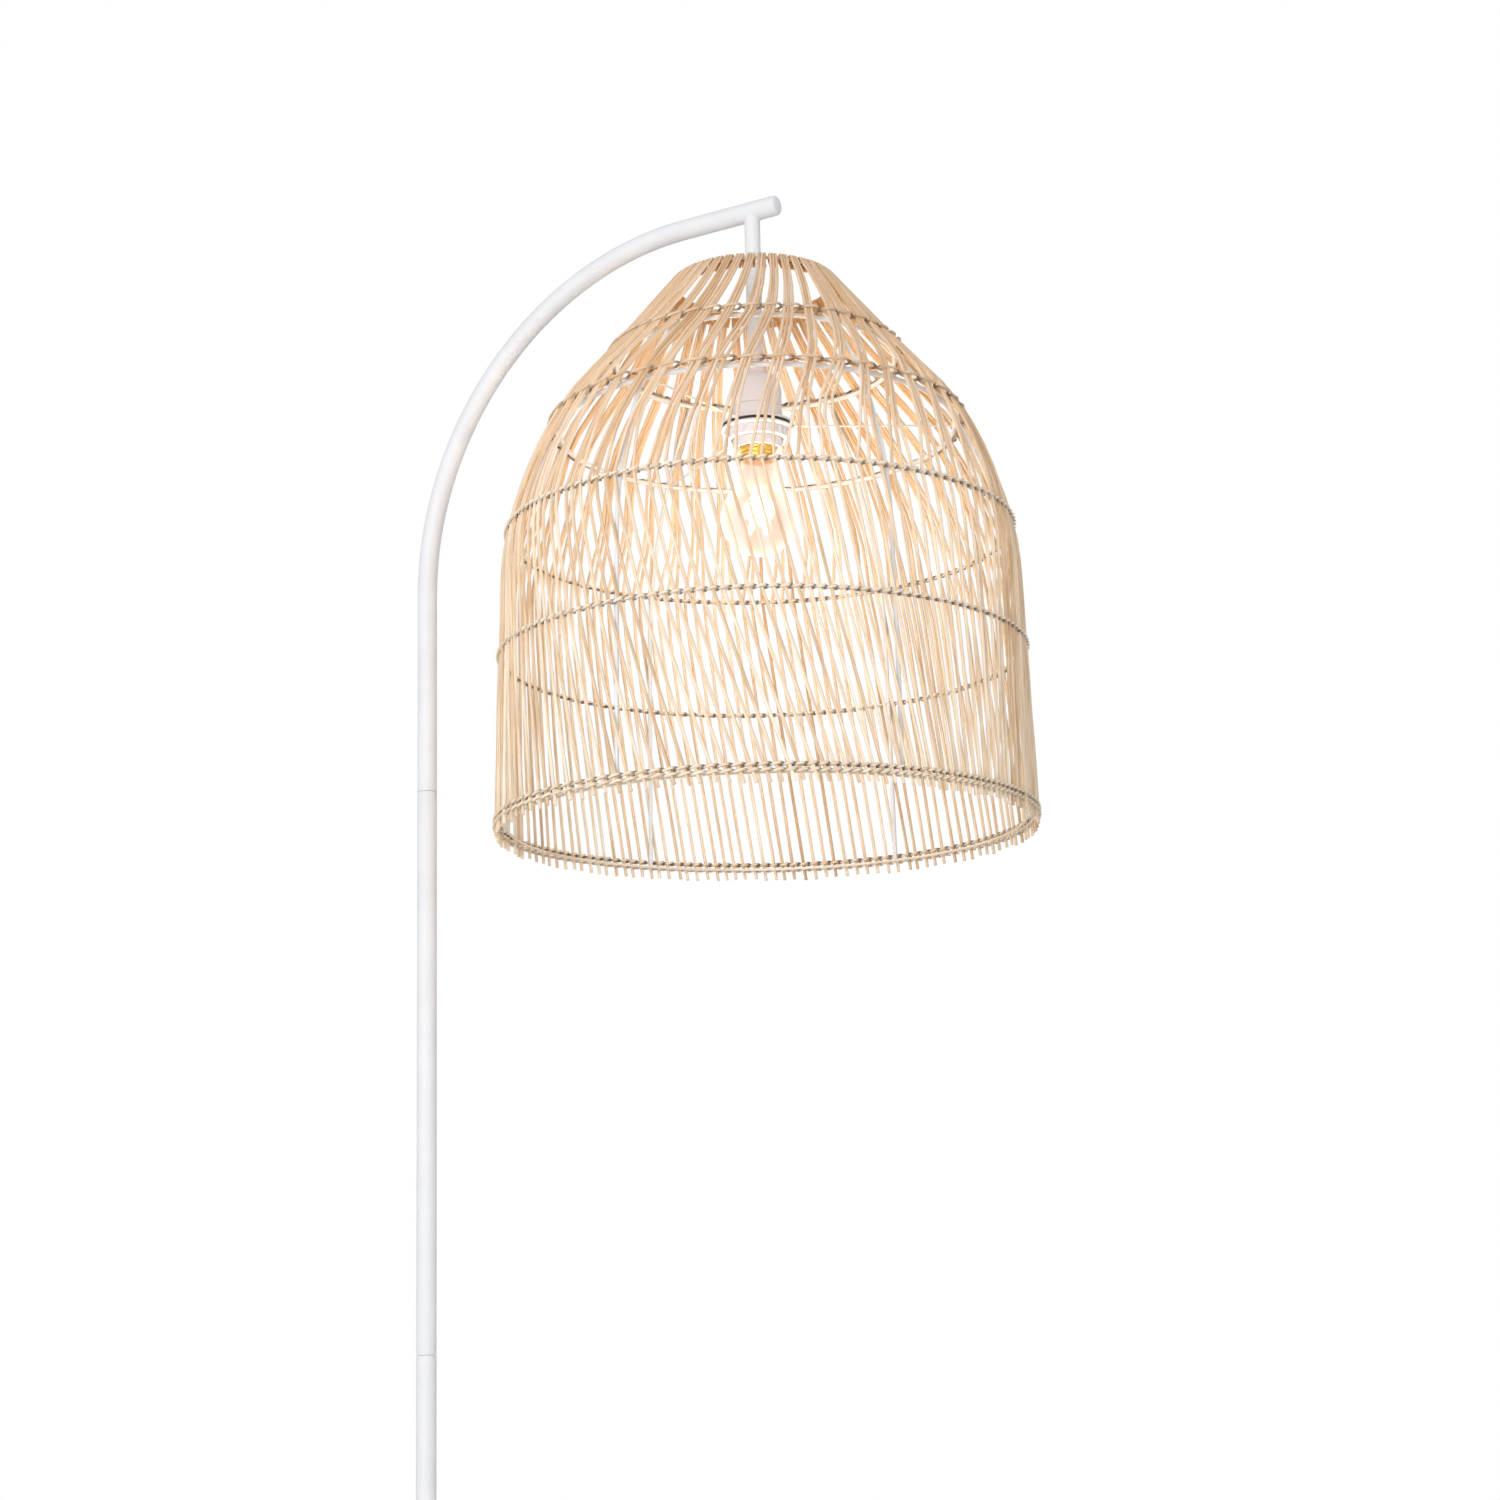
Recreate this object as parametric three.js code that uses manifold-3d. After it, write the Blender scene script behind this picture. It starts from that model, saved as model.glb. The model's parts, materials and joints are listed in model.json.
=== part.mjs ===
// Rattan floor lamp: a weighted round foot, a screwed tube pole, a bent arm and a hanging cane shade.
// Millimetres, +Z up. The origin is the middle of the foot's underside, on the pole's axis.
// The arm reaches along +X. The shade, its screw ring, the lamp holder and the bulb share one upright axis.
import * as THREE from "three";
import { mergeVertices } from "three/addons/utils/BufferGeometryUtils.js";
import Module from "manifold-3d";

const wasm = await Module();
wasm.setup();

// Clearances
const seatGap = 0.3;
const cutOverrun = 4;

// Foot
const footRadius = 140;
const footHeight = 24;
const coverWall = 1.5;
const coverEdgeRadius = 5;
const coverLift = 1;
const sheetThickness = 2;
const weightWeb = 3.5;
const recessRadius = 22;
const pocketLength = 66;
const pocketWidth = 26;
const grooveWidth = 9.6;
const grooveHeight = 11.4;
const studRadius = 5;
const studPlay = 1.5;
const studEngagement = 20;
const washerRadius = 12;
const washerThickness = 1.5;
const nutAcrossFlats = 17;
const nutHeight = 3.5;
const blockLength = 27;
const blockWidth = 18;
const blockHeight = 8;
const blockScrewRadius = 2;
const blockScrewSpacing = 8;
const blockScrewDepth = 3;
const inletHeight = 9;
const inletNeckRadius = 4.2;
const inletFlangeRadius = 6.5;
const inletFlangeThickness = 1.6;

// Pole and arm
const tubeRadius = 8;
const tubeWall = 1.2;
const poleLength = 455;
const joinerLength = 60;
const armRise = 432;
const armBendRadius = 263;
const armReach = 328;
const armOverhang = 21;
const capDome = 3.2;
const capPlugLength = 10;
const dropRadius = 6.2;
const dropWall = 0.9;
const dropLength = 133;
const weldLegShare = 0.5;
// The weld's flare: its reach as shares of its leg, its first rise as a share of the leg, and how far
// below the arm's middle it goes on, as shares of the arm's radius
const weldReachShares = [0.25, 0.6];
const weldRiseShare = 0.55;
const weldDepthShares = [0.85, 0.4];
const leadRadius = 2.3;
const leadBendRadius = 11.5;
const leadFloorGap = 0.6;

// Lamp holder
const holderNeckRadius = 8.2;
const holderNeckHeight = 4;
const holderCapHeight = 32;
const holderCapWall = 1.6;
const bellHeightShare = 0.5;
const skirtRadius = 19.7;
const skirtWall = 2.5;
const skirtHeight = 34;
const skirtLip = 3;
const flangeRadius = 28.5;
const flangeThickness = 2;
const flangeDepth = 12.5;
const nippleReachUp = 14;
const nippleReachDown = 9;
const nippleWall = 1.2;
const nippleNutHeight = 3;
const insertTopGap = 1.5;
const insertPlate = 6;
const insertCollar = 7;
const shellWall = 0.4;
const contactRadius = 4;
const contactThickness = 0.8;

// Screw ring under the shade's carrier
const ringFlangeThickness = 2.5;
const ringCollarHeight = 7.5;
const ringCollarRadius = 24.5;
const ringGripDepth = 0.8;
const ringGripCount = 24;

// Bulb
const bulbCapRadius = 13.2;
const bulbCapLength = 22;
const bulbCapFloor = 3;
const bulbShoulder = 3.5;
const bulbTipRadius = 5;
const bulbTipHeight = 2.4;
const glassRadius = 30;
const glassNeckRadius = 12.4;
const glassWall = 1;
const glassDrop = 56;
// Where the ball ends and where the neck starts, above its middle, as shares of its radius
const glassShoulderShare = 0.62;
const glassWaistShare = 1.15;
const stemRadius = 4.5;
const stemLength = 38;
const stemThinShare = 0.5;
const stemTaperShare = 0.25;
const filamentTopShare = 0.9;
const filamentRadius = 1;
const filamentLength = 36;
const filamentSpread = 9;
const filamentCount = 4;

// Cane shade
const shadeHeight = 436;
const rimRadius = 205;
const caneWidth = 2.6;
const caneThickness = 2.2;
const caneBands = 48;
const canesPerBand = 3;
const caneTipLength = 8;
const bandTopWidth = 6;
const topHoopHeight = 5;
const hoopHeight = 4.4;
const hoopThickness = 2.4;
const hoopCrownShare = 0.5;
// Heights of the six hoops, from the rim at 0 to the top at 1, and their radii as shares of the rim's
const hoopHeightShares = [1, 0.859, 0.727, 0.525, 0.303, 0];
const hoopRadiusShares = [0.32, 0.563, 0.789, 0.955, 0.985, 1];
const carrierHeightShare = 0.727;
// Places along the wall where the canes change direction, as heights, and how far each band has fanned out
const stationShares = [1, 0.859, 0.727, 0.63, 0.525, 0.303, 0];
const fanShares = [0, 0, 0, 0, 1, 1, 1];
const partStation = 3;
// The weave is twisted on the cone, and was pulled askew by hand: how far each station is turned about the
// axis, how far it is shifted sideways, as shares of the rim's radius, and how far it is drawn forward at
// two opposite places and back between them
const twistAngles = [0, -7.3, -12.5, -15.5, -16, -16, -16].map(THREE.MathUtils.degToRad);
const skewShares = [0, 0, -0.037, -0.06, -0.08, 0.01, 0.16];
const drawAngles = [0, 0, 0, 0, 0, 2, 5.7].map(THREE.MathUtils.degToRad);
// The way in which the weave is shifted, from the arm's direction
const skewDirection = THREE.MathUtils.degToRad(31.7);

// Shade frame
const wireRadius = 1.9;
const uprightRadius = 1.6;
const frameGap = 1;
const uprightCount = 6;
const carrierRadius = 25;
const carrierThickness = 1.6;
const spokeCount = 3;
const spokeShoulder = 3;

// Facet counts
const tubeSides = 16;
const boreSides = 8;
const turnedSides = 24;
const footSides = 32;
const ringSides = 36;
const wireSides = 5;
const filamentSides = 6;
const bendSteps = 10;
const smallBendSteps = 4;
const domeSteps = 4;
const bellSteps = 4;
const glassSteps = 7;

// Heights and places that follow from the sizes above
const sheetTop = sheetThickness;
const weightBottom = sheetTop + seatGap;
const weightTop = footHeight - coverWall - seatGap;
const recessTop = weightTop - weightWeb;
const leadRun = weightBottom + leadFloorGap + leadRadius;
const studBore = leadRadius + studPlay;
const studDrift = leadBendRadius - studPlay / 2;
const studBottom = leadRun + leadBendRadius - Math.sqrt(leadBendRadius ** 2 - studDrift ** 2);
const tubeBore = tubeRadius - tubeWall;
const lowerSeam = footHeight + poleLength;
const upperSeam = lowerSeam + poleLength;
const armHeight = upperSeam + armRise;
const armEnd = armReach + armOverhang;
const dropBore = dropRadius - dropWall;
const holderTop = armHeight - dropLength;
const capBottom = holderTop - holderCapHeight;
const skirtTop = capBottom - seatGap;
const mouth = skirtTop - skirtHeight;
const flangeTop = skirtTop - flangeDepth;
const carrierTop = flangeTop - flangeThickness - seatGap;
const carrierBottom = carrierTop - carrierThickness;
const ringTop = carrierBottom - seatGap;
const skirtBore = skirtRadius - skirtWall;
const shadeBottom = carrierBottom - carrierHeightShare * shadeHeight;
const caneCount = caneBands * canesPerBand;

// Materials, from the photograph's colours
function paint(color, roughness, metalness, extra = {}) {
  return new THREE.MeshStandardMaterial({ color, roughness, metalness, ...extra });
}
const powderCoat = paint(0xececea, 0.42, 0.1);
const cane = paint(0xe3c08e, 0.7, 0);
const weaver = paint(0xd9b07a, 0.75, 0);
const castIron = paint(0x4a4a4a, 0.7, 0.7);
const zincSteel = paint(0xb9bbbd, 0.35, 0.9);
const whitePlastic = paint(0xf0efec, 0.4, 0);
const blackPaint = paint(0x2a2928, 0.5, 0);
const ceramic = paint(0xe9e4da, 0.3, 0);
const brass = paint(0xc9a24a, 0.3, 0.9);
const rubber = paint(0x303030, 0.85, 0);
const leadSheath = paint(0xe6e6e4, 0.5, 0);
const clearGlass = paint(0xffffff, 0.05, 0, { transparent: true, opacity: 0.35 });
const phosphor = paint(0xffe9b0, 0.5, 0, { emissive: 0xffd890 });

// A closed polygon of the given radius
function polygon(radius, sides, turn = 0) {
  return Array.from({ length: sides }, (_, i) => {
    const angle = turn + (i * 2 * Math.PI) / sides;
    return new THREE.Vector2(radius * Math.cos(angle), radius * Math.sin(angle));
  });
}

// A disc, a ring or a hexagon pulled up along +Z from the height given
function upright(outline, bottom, height, hole = null) {
  const shape = new THREE.Shape(outline);
  if (hole) shape.holes.push(new THREE.Path(hole));
  const solid = new THREE.ExtrudeGeometry(shape, { depth: height, bevelEnabled: false });
  return solid.translate(0, 0, bottom);
}

// A profile of [radius, height] pairs, turned about the Z axis
function turned(profile, sides = turnedSides) {
  const points = profile.map(([radius, height]) => new THREE.Vector2(radius, height));
  return new THREE.LatheGeometry(points, sides).rotateX(Math.PI / 2);
}

// The points of an arc in a profile, from one angle to another
function arcPoints(centreX, centreY, radius, from, to, steps) {
  return Array.from({ length: steps + 1 }, (_, i) => {
    const angle = from + ((to - from) * i) / steps;
    return [centreX + radius * Math.cos(angle), centreY + radius * Math.sin(angle)];
  });
}

// A path with a ring of the swept tube at each of its stations and nowhere else
class StationPath extends THREE.Curve {
  constructor(stations) {
    super();
    this.stations = stations;
  }
  getPoint(t, target = new THREE.Vector3()) {
    const place = t * (this.stations.length - 1);
    const index = Math.min(Math.floor(place), this.stations.length - 2);
    return target.lerpVectors(this.stations[index], this.stations[index + 1], place - index);
  }
  getPointAt(u, target) {
    return this.getPoint(u, target);
  }
  getTangentAt(u, target = new THREE.Vector3()) {
    const last = this.stations.length - 1;
    const index = Math.round(u * last);
    const before = this.stations[Math.max(index - 1, 0)];
    const here = this.stations[index];
    const after = this.stations[Math.min(index + 1, last)];
    const arriving = here.clone().sub(before).normalize();
    const leaving = after.clone().sub(here).normalize();
    return target.copy(arriving).add(leaving).normalize();
  }
}

// A round tube or rod swept along stations
function swept(stations, radius, sides, bore = 0) {
  const shape = new THREE.Shape(polygon(radius, sides));
  if (bore) shape.holes.push(new THREE.Path(polygon(bore, sides)));
  return new THREE.ExtrudeGeometry(shape, {
    steps: stations.length - 1,
    extrudePath: new StationPath(stations),
    bevelEnabled: false,
  });
}

// A closed geometry as a solid that can be joined and cut, and back again
function solidOf(geometry) {
  const bare = new THREE.BufferGeometry();
  const loose = geometry.index ? geometry.toNonIndexed() : geometry;
  bare.setAttribute("position", loose.getAttribute("position"));
  const merged = mergeVertices(bare, 1e-3);
  return new wasm.Manifold(
    new wasm.Mesh({
      numProp: 3,
      vertProperties: merged.attributes.position.array,
      triVerts: new Uint32Array(merged.index.array),
    }),
  );
}
function geometryOf(solid) {
  const made = solid.getMesh();
  const geometry = new THREE.BufferGeometry();
  geometry.setAttribute("position", new THREE.BufferAttribute(made.vertProperties, 3));
  geometry.setIndex(new THREE.BufferAttribute(made.triVerts, 1));
  return geometry;
}
function cut(geometry, ...tools) {
  return geometryOf(tools.reduce((rest, tool) => rest.subtract(solidOf(tool)), solidOf(geometry)));
}
function join(geometry, ...others) {
  return geometryOf(others.reduce((sum, other) => sum.add(solidOf(other)), solidOf(geometry)));
}

function piece(name, geometry, material) {
  const mesh = new THREE.Mesh(geometry, material);
  mesh.name = name;
  return mesh;
}

// A quarter bend of stations in the XZ plane, from one angle to another about a centre
function bend(centreX, centreZ, radius, from, to, steps) {
  return arcPoints(centreX, centreZ, radius, from, to, steps).map(
    ([x, z]) => new THREE.Vector3(x, 0, z),
  );
}

// Foot: rubber sheet, iron weight with its recess, pressed cover, stud with nut and washer, terminal block
function makeFoot() {
  const foot = new THREE.Group();
  const innerRadius = footRadius - coverWall - seatGap;
  foot.add(piece("foot_sheet", upright(polygon(innerRadius, footSides), 0, sheetThickness), rubber));

  const weight = turned(
    [
      [0, weightBottom],
      [innerRadius, weightBottom],
      [innerRadius, weightTop - coverEdgeRadius],
      [innerRadius - coverEdgeRadius, weightTop],
      [0, weightTop],
    ],
    footSides,
  );
  const recessBottom = weightBottom - cutOverrun;
  const recess = upright(polygon(recessRadius, turnedSides), recessBottom, recessTop - recessBottom);
  const pocket = new THREE.BoxGeometry(pocketLength, pocketWidth, recessTop - recessBottom);
  pocket.translate(-pocketLength / 2, 0, (recessTop + recessBottom) / 2);
  const grooveTop = weightBottom + grooveHeight;
  const groove = new THREE.BoxGeometry(footRadius + cutOverrun, grooveWidth, grooveTop - recessBottom);
  groove.translate(-(footRadius + cutOverrun) / 2, 0, (grooveTop + recessBottom) / 2);
  const studHole = upright(polygon(studRadius + seatGap, tubeSides), recessBottom, footHeight);
  foot.add(piece("foot_weight", cut(weight, recess, pocket, groove, studHole), castIron));

  const outerCorner = arcPoints(
    footRadius - coverEdgeRadius,
    footHeight - coverEdgeRadius,
    coverEdgeRadius,
    0,
    Math.PI / 2,
    smallBendSteps,
  );
  const innerCorner = arcPoints(
    footRadius - coverEdgeRadius,
    footHeight - coverEdgeRadius,
    coverEdgeRadius - coverWall,
    Math.PI / 2,
    0,
    smallBendSteps,
  );
  const cover = turned(
    [
      [footRadius, coverLift],
      ...outerCorner,
      [studRadius + seatGap, footHeight],
      [studRadius + seatGap, footHeight - coverWall],
      ...innerCorner,
      [footRadius - coverWall, coverLift],
      [footRadius, coverLift],
    ],
    footSides,
  );
  const inletBore = new THREE.CylinderGeometry(
    inletNeckRadius + seatGap,
    inletNeckRadius + seatGap,
    coverEdgeRadius + cutOverrun,
    tubeSides,
  );
  inletBore.rotateZ(Math.PI / 2).translate(-footRadius, 0, inletHeight);
  foot.add(piece("foot_cover", cut(cover, inletBore), powderCoat));

  const neckEnd = footRadius * Math.cos(Math.PI / footSides) - coverWall - seatGap;
  const inlet = turned(
    [
      [leadRadius + seatGap, neckEnd],
      [inletNeckRadius, neckEnd],
      [inletNeckRadius, footRadius + seatGap],
      [inletFlangeRadius, footRadius + seatGap],
      [inletNeckRadius, footRadius + seatGap + inletFlangeThickness],
      [leadRadius + seatGap, footRadius + seatGap + inletFlangeThickness],
      [leadRadius + seatGap, neckEnd],
    ],
    tubeSides,
  );
  inlet.rotateY(-Math.PI / 2).translate(0, 0, inletHeight);
  foot.add(piece("lead_inlet", inlet, rubber));

  const washerTop = recessTop - seatGap;
  const washer = upright(
    polygon(washerRadius, turnedSides),
    washerTop - washerThickness,
    washerThickness,
    polygon(studRadius + seatGap, tubeSides),
  );
  foot.add(piece("foot_washer", washer, zincSteel));
  const nutTop = washerTop - washerThickness - seatGap;
  const nutCorner = nutAcrossFlats / 2 / Math.cos(Math.PI / 6);
  const nut = upright(
    polygon(nutCorner, 6),
    nutTop - nutHeight,
    nutHeight,
    polygon(studRadius + seatGap, tubeSides),
  );
  foot.add(piece("foot_nut", nut, zincSteel));
  const studTop = footHeight + studEngagement;
  const stud = upright(
    polygon(studRadius, tubeSides),
    studBottom,
    studTop - studBottom,
    polygon(studBore, boreSides, Math.PI / boreSides),
  );
  foot.add(piece("foot_stud", stud, zincSteel));

  const blockBottom = leadRun - blockHeight / 2;
  const blockBase = Math.max(blockBottom, weightBottom);
  const block = new THREE.BoxGeometry(blockLength, blockWidth, blockHeight);
  block.translate(blockCentre(), 0, blockBase + blockHeight / 2);
  const screwHoles = [-1, 1].map((side) =>
    upright(
      polygon(blockScrewRadius, boreSides),
      blockBase + blockHeight - blockScrewDepth,
      blockScrewDepth + cutOverrun,
    ).translate(blockCentre(), (side * blockScrewSpacing) / 2, 0),
  );
  foot.add(piece("terminal_block", cut(block, ...screwHoles), ceramic));
  return foot;
}

// The terminal block lies in the far end of the weight's pocket
function blockCentre() {
  return -(pocketLength - seatGap - blockLength / 2);
}

// Pole: two straight tubes, the threaded insert over the stud, and a joiner in each seam
function makePole() {
  const pole = new THREE.Group();
  const outline = polygon(tubeRadius, tubeSides);
  const bore = polygon(tubeBore, tubeSides);
  const sections = [
    ["pole_lower", footHeight],
    ["pole_middle", lowerSeam],
  ];
  for (const [name, bottom] of sections) {
    const tube = upright(outline, bottom + seatGap, poleLength - seatGap, bore);
    pole.add(piece(name, tube, powderCoat));
  }
  const plugRadius = tubeBore * Math.cos(Math.PI / tubeSides) - seatGap;
  const insert = upright(
    polygon(plugRadius, tubeSides),
    footHeight + seatGap,
    studEngagement,
    polygon(studRadius + seatGap, tubeSides),
  );
  pole.add(piece("pole_insert", insert, zincSteel));
  const seams = [
    ["joiner_lower", lowerSeam],
    ["joiner_upper", upperSeam],
  ];
  for (const [name, seam] of seams) {
    const joiner = upright(
      polygon(plugRadius, tubeSides),
      seam - joinerLength / 2,
      joinerLength,
      polygon(studBore, boreSides),
    );
    pole.add(piece(name, joiner, zincSteel));
  }
  return pole;
}

// Arm: a bent tube with a lead hole over the drop tube, its domed end cap, and the welded drop tube
function makeArm() {
  const arm = new THREE.Group();
  const bendCentreZ = armHeight - armBendRadius;
  const stations = [
    new THREE.Vector3(0, 0, upperSeam + seatGap),
    ...bend(armBendRadius, bendCentreZ, armBendRadius, Math.PI, Math.PI / 2, bendSteps),
    new THREE.Vector3(armEnd, 0, armHeight),
  ];
  const tube = swept(stations, tubeRadius, tubeSides, tubeBore);
  const leadHole = upright(
    polygon(dropBore, tubeSides),
    armHeight - tubeRadius - cutOverrun,
    tubeRadius + cutOverrun,
  ).translate(armReach, 0, 0);
  arm.add(piece("arm_tube", cut(tube, leadHole), powderCoat));

  const plugRadius = tubeBore * Math.cos(Math.PI / boreSides) - seatGap;
  const domeSphere = (tubeRadius ** 2 + capDome ** 2) / (2 * capDome);
  const domeReach = Math.asin(tubeRadius / domeSphere);
  const dome = arcPoints(0, capDome - domeSphere, domeSphere, Math.PI / 2 - domeReach, Math.PI / 2, domeSteps);
  const cap = turned(
    [[0, -capPlugLength], [plugRadius, -capPlugLength], [plugRadius, 0], ...dome],
    tubeSides,
  );
  cap.rotateY(Math.PI / 2).translate(armEnd + seatGap, 0, armHeight);
  arm.add(piece("arm_end_cap", cap, powderCoat));

  const weldLeg = tubeRadius * weldLegShare;
  const weldBottom = armHeight - tubeRadius - weldLeg;
  const drop = turned([
    [dropBore, holderTop + seatGap],
    [dropRadius, holderTop + seatGap],
    [dropRadius, weldBottom],
    [dropRadius + weldLeg * weldReachShares[0], weldBottom + weldLeg * weldRiseShare],
    [dropRadius + weldLeg * weldReachShares[1], armHeight - tubeRadius * weldDepthShares[0]],
    [dropRadius + weldLeg * weldReachShares[1], armHeight - tubeRadius * weldDepthShares[1]],
    [dropBore, armHeight - tubeRadius * weldDepthShares[1]],
    [dropBore, holderTop + seatGap],
  ], tubeSides).translate(armReach, 0, 0);
  const armClearance = new THREE.CylinderGeometry(
    tubeRadius + seatGap,
    tubeRadius + seatGap,
    tubeRadius * 4,
    turnedSides,
  );
  armClearance.rotateZ(Math.PI / 2).translate(armReach, 0, armHeight);
  arm.add(piece("drop_tube", cut(drop, armClearance), powderCoat));
  return arm;
}

// Inner lead: from the terminal block up the stud, the pole and the arm, and down the drop tube
function makeLead() {
  const start = blockCentre() + blockLength / 2 + seatGap;
  const bendCentreZ = armHeight - armBendRadius;
  const end = skirtTop - insertTopGap + seatGap;
  const stations = [
    new THREE.Vector3(start, 0, leadRun),
    ...bend(-leadBendRadius, leadRun + leadBendRadius, leadBendRadius, -Math.PI / 2, 0, smallBendSteps),
    ...bend(armBendRadius, bendCentreZ, armBendRadius, Math.PI, Math.PI / 2, bendSteps),
    ...bend(
      armReach - leadBendRadius,
      armHeight - leadBendRadius,
      leadBendRadius,
      Math.PI / 2,
      0,
      smallBendSteps,
    ),
    new THREE.Vector3(armReach, 0, end),
  ];
  return piece("inner_lead", swept(stations, leadRadius, boreSides), leadSheath);
}

// Lamp holder: nipple and nut, bell cap, threaded skirt with its flange, insert, screw shell and contact
function makeHolder() {
  const holder = new THREE.Group();
  holder.position.set(armReach, 0, 0);
  const nippleBore = polygon(studRadius - nippleWall, boreSides, Math.PI / boreSides);
  const nipple = upright(
    polygon(studRadius, tubeSides),
    holderTop - nippleReachDown,
    nippleReachDown + nippleReachUp,
    nippleBore,
  );
  holder.add(piece("holder_nipple", nipple, zincSteel));
  const nutTop = holderTop - holderCapWall - seatGap;
  const nippleNut = upright(
    polygon(holderNeckRadius - holderCapWall - seatGap, 6),
    nutTop - nippleNutHeight,
    nippleNutHeight,
    polygon(studRadius + seatGap, tubeSides),
  );
  holder.add(piece("nipple_nut", nippleNut, zincSteel));

  // The bell's shoulder is a quarter ellipse between the neck and the skirt's radius
  const bellTop = holderTop - holderNeckHeight;
  const bellHeight = holderCapHeight * bellHeightShare;
  const bellOutside = Array.from({ length: bellSteps + 1 }, (_, i) => {
    const angle = (i / bellSteps) * (Math.PI / 2);
    const radius = holderNeckRadius + (skirtRadius - holderNeckRadius) * Math.sin(angle);
    return [radius, bellTop - bellHeight * (1 - Math.cos(angle))];
  });
  const bellInside = bellOutside.map(([radius, height]) => [
    radius - holderCapWall,
    height - holderCapWall * (radius < skirtRadius ? 1 : 0),
  ]);
  const cap = turned([
    [studRadius + seatGap, holderTop],
    [studRadius + seatGap, holderTop - holderCapWall],
    [holderNeckRadius - holderCapWall, holderTop - holderCapWall],
    ...bellInside,
    [skirtRadius - holderCapWall, capBottom],
    [skirtRadius, capBottom],
    ...bellOutside.reverse(),
    [holderNeckRadius, holderTop],
    [studRadius + seatGap, holderTop],
  ]);
  holder.add(piece("holder_cap", cap, whitePlastic));

  const skirt = turned([
    [skirtBore, mouth],
    [skirtRadius, mouth],
    [skirtRadius, flangeTop - flangeThickness],
    [flangeRadius, flangeTop - flangeThickness],
    [flangeRadius, flangeTop],
    [skirtRadius, flangeTop],
    [skirtRadius, skirtTop],
    [skirtBore, skirtTop],
    [skirtBore, mouth],
  ]);
  holder.add(piece("holder_skirt", skirt, whitePlastic));

  const insertTop = skirtTop - insertTopGap;
  const insertBottom = insertTop - insertPlate;
  const insertRadius = skirtBore - seatGap;
  const shellRadius = bulbCapRadius + seatGap + shellWall;
  const insert = turned([
    [0, insertBottom],
    [shellRadius + seatGap, insertBottom],
    [shellRadius + seatGap, insertBottom - insertCollar],
    [insertRadius, insertBottom - insertCollar],
    [insertRadius, insertTop],
    [0, insertTop],
  ]);
  holder.add(piece("holder_insert", insert, ceramic));
  const shell = upright(
    polygon(shellRadius, turnedSides),
    mouth + skirtLip,
    insertBottom - seatGap - mouth - skirtLip,
    polygon(shellRadius - shellWall, turnedSides),
  );
  holder.add(piece("screw_shell", shell, brass));
  const contact = upright(
    polygon(contactRadius, boreSides),
    insertBottom - seatGap - contactThickness,
    contactThickness,
  );
  holder.add(piece("centre_contact", contact, brass));
  return holder;
}

// The height of the bulb's tip contact, just under the holder's centre contact
function bulbTop() {
  return skirtTop - insertTopGap - insertPlate - contactThickness - 2 * seatGap;
}

// Bulb: metal cap, clear glass with an open neck, glass stem and four filaments
function makeBulb() {
  const bulb = new THREE.Group();
  bulb.position.set(armReach, 0, 0);
  const tip = bulbTop();
  const threadTop = tip - bulbTipHeight;
  const threadBottom = tip - bulbTipHeight - bulbCapLength;
  const floorHeight = threadBottom + bulbCapFloor;
  const seatRadius = glassNeckRadius - glassWall - seatGap;
  const cap = turned([
    [0, floorHeight],
    [seatRadius, floorHeight],
    [seatRadius, threadBottom],
    [bulbCapRadius, threadBottom],
    [bulbCapRadius, threadTop - bulbShoulder],
    [bulbTipRadius, threadTop],
    [bulbTipRadius, tip],
    [0, tip],
  ]);
  bulb.add(piece("bulb_cap", cap, zincSteel));

  const centre = mouth - glassDrop;
  const shoulder = Math.asin(glassShoulderShare);
  const neckTop = threadBottom - seatGap;
  const lower = -Math.PI / 2;
  const outside = arcPoints(0, centre, glassRadius, lower, shoulder, glassSteps);
  const inside = arcPoints(0, centre, glassRadius - glassWall, shoulder, lower, glassSteps);
  const waist = centre + glassRadius * glassWaistShare;
  const glass = turned([
    ...outside,
    [glassNeckRadius + glassWall * 2, waist],
    [glassNeckRadius, neckTop],
    [glassNeckRadius - glassWall, neckTop],
    [glassNeckRadius + glassWall, waist],
    ...inside,
  ]);
  bulb.add(piece("bulb_glass", glass, clearGlass));

  const stemTop = floorHeight - seatGap;
  const stemTaper = stemTop - stemLength * stemTaperShare;
  const stemThin = stemRadius * stemThinShare;
  const stem = turned(
    [
      [0, stemTop - stemLength],
      [stemThin, stemTop - stemLength],
      [stemThin, stemTaper],
      [stemRadius, stemTop],
      [0, stemTop],
    ],
    boreSides,
  );
  bulb.add(piece("bulb_stem", stem, clearGlass));
  const filamentTop = stemTop - stemLength * filamentTopShare;
  for (let i = 0; i < filamentCount; i += 1) {
    const angle = (i * 2 * Math.PI) / filamentCount;
    const lean = new THREE.Vector3(Math.cos(angle), Math.sin(angle), 0);
    const top = lean.clone().multiplyScalar(stemThin + seatGap + filamentRadius);
    const foot = lean.clone().multiplyScalar(filamentSpread);
    top.z = filamentTop;
    foot.z = filamentTop - filamentLength;
    bulb.add(piece(`filament_${i + 1}`, swept([top, foot], filamentRadius, filamentSides), phosphor));
  }
  return bulb;
}

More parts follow.
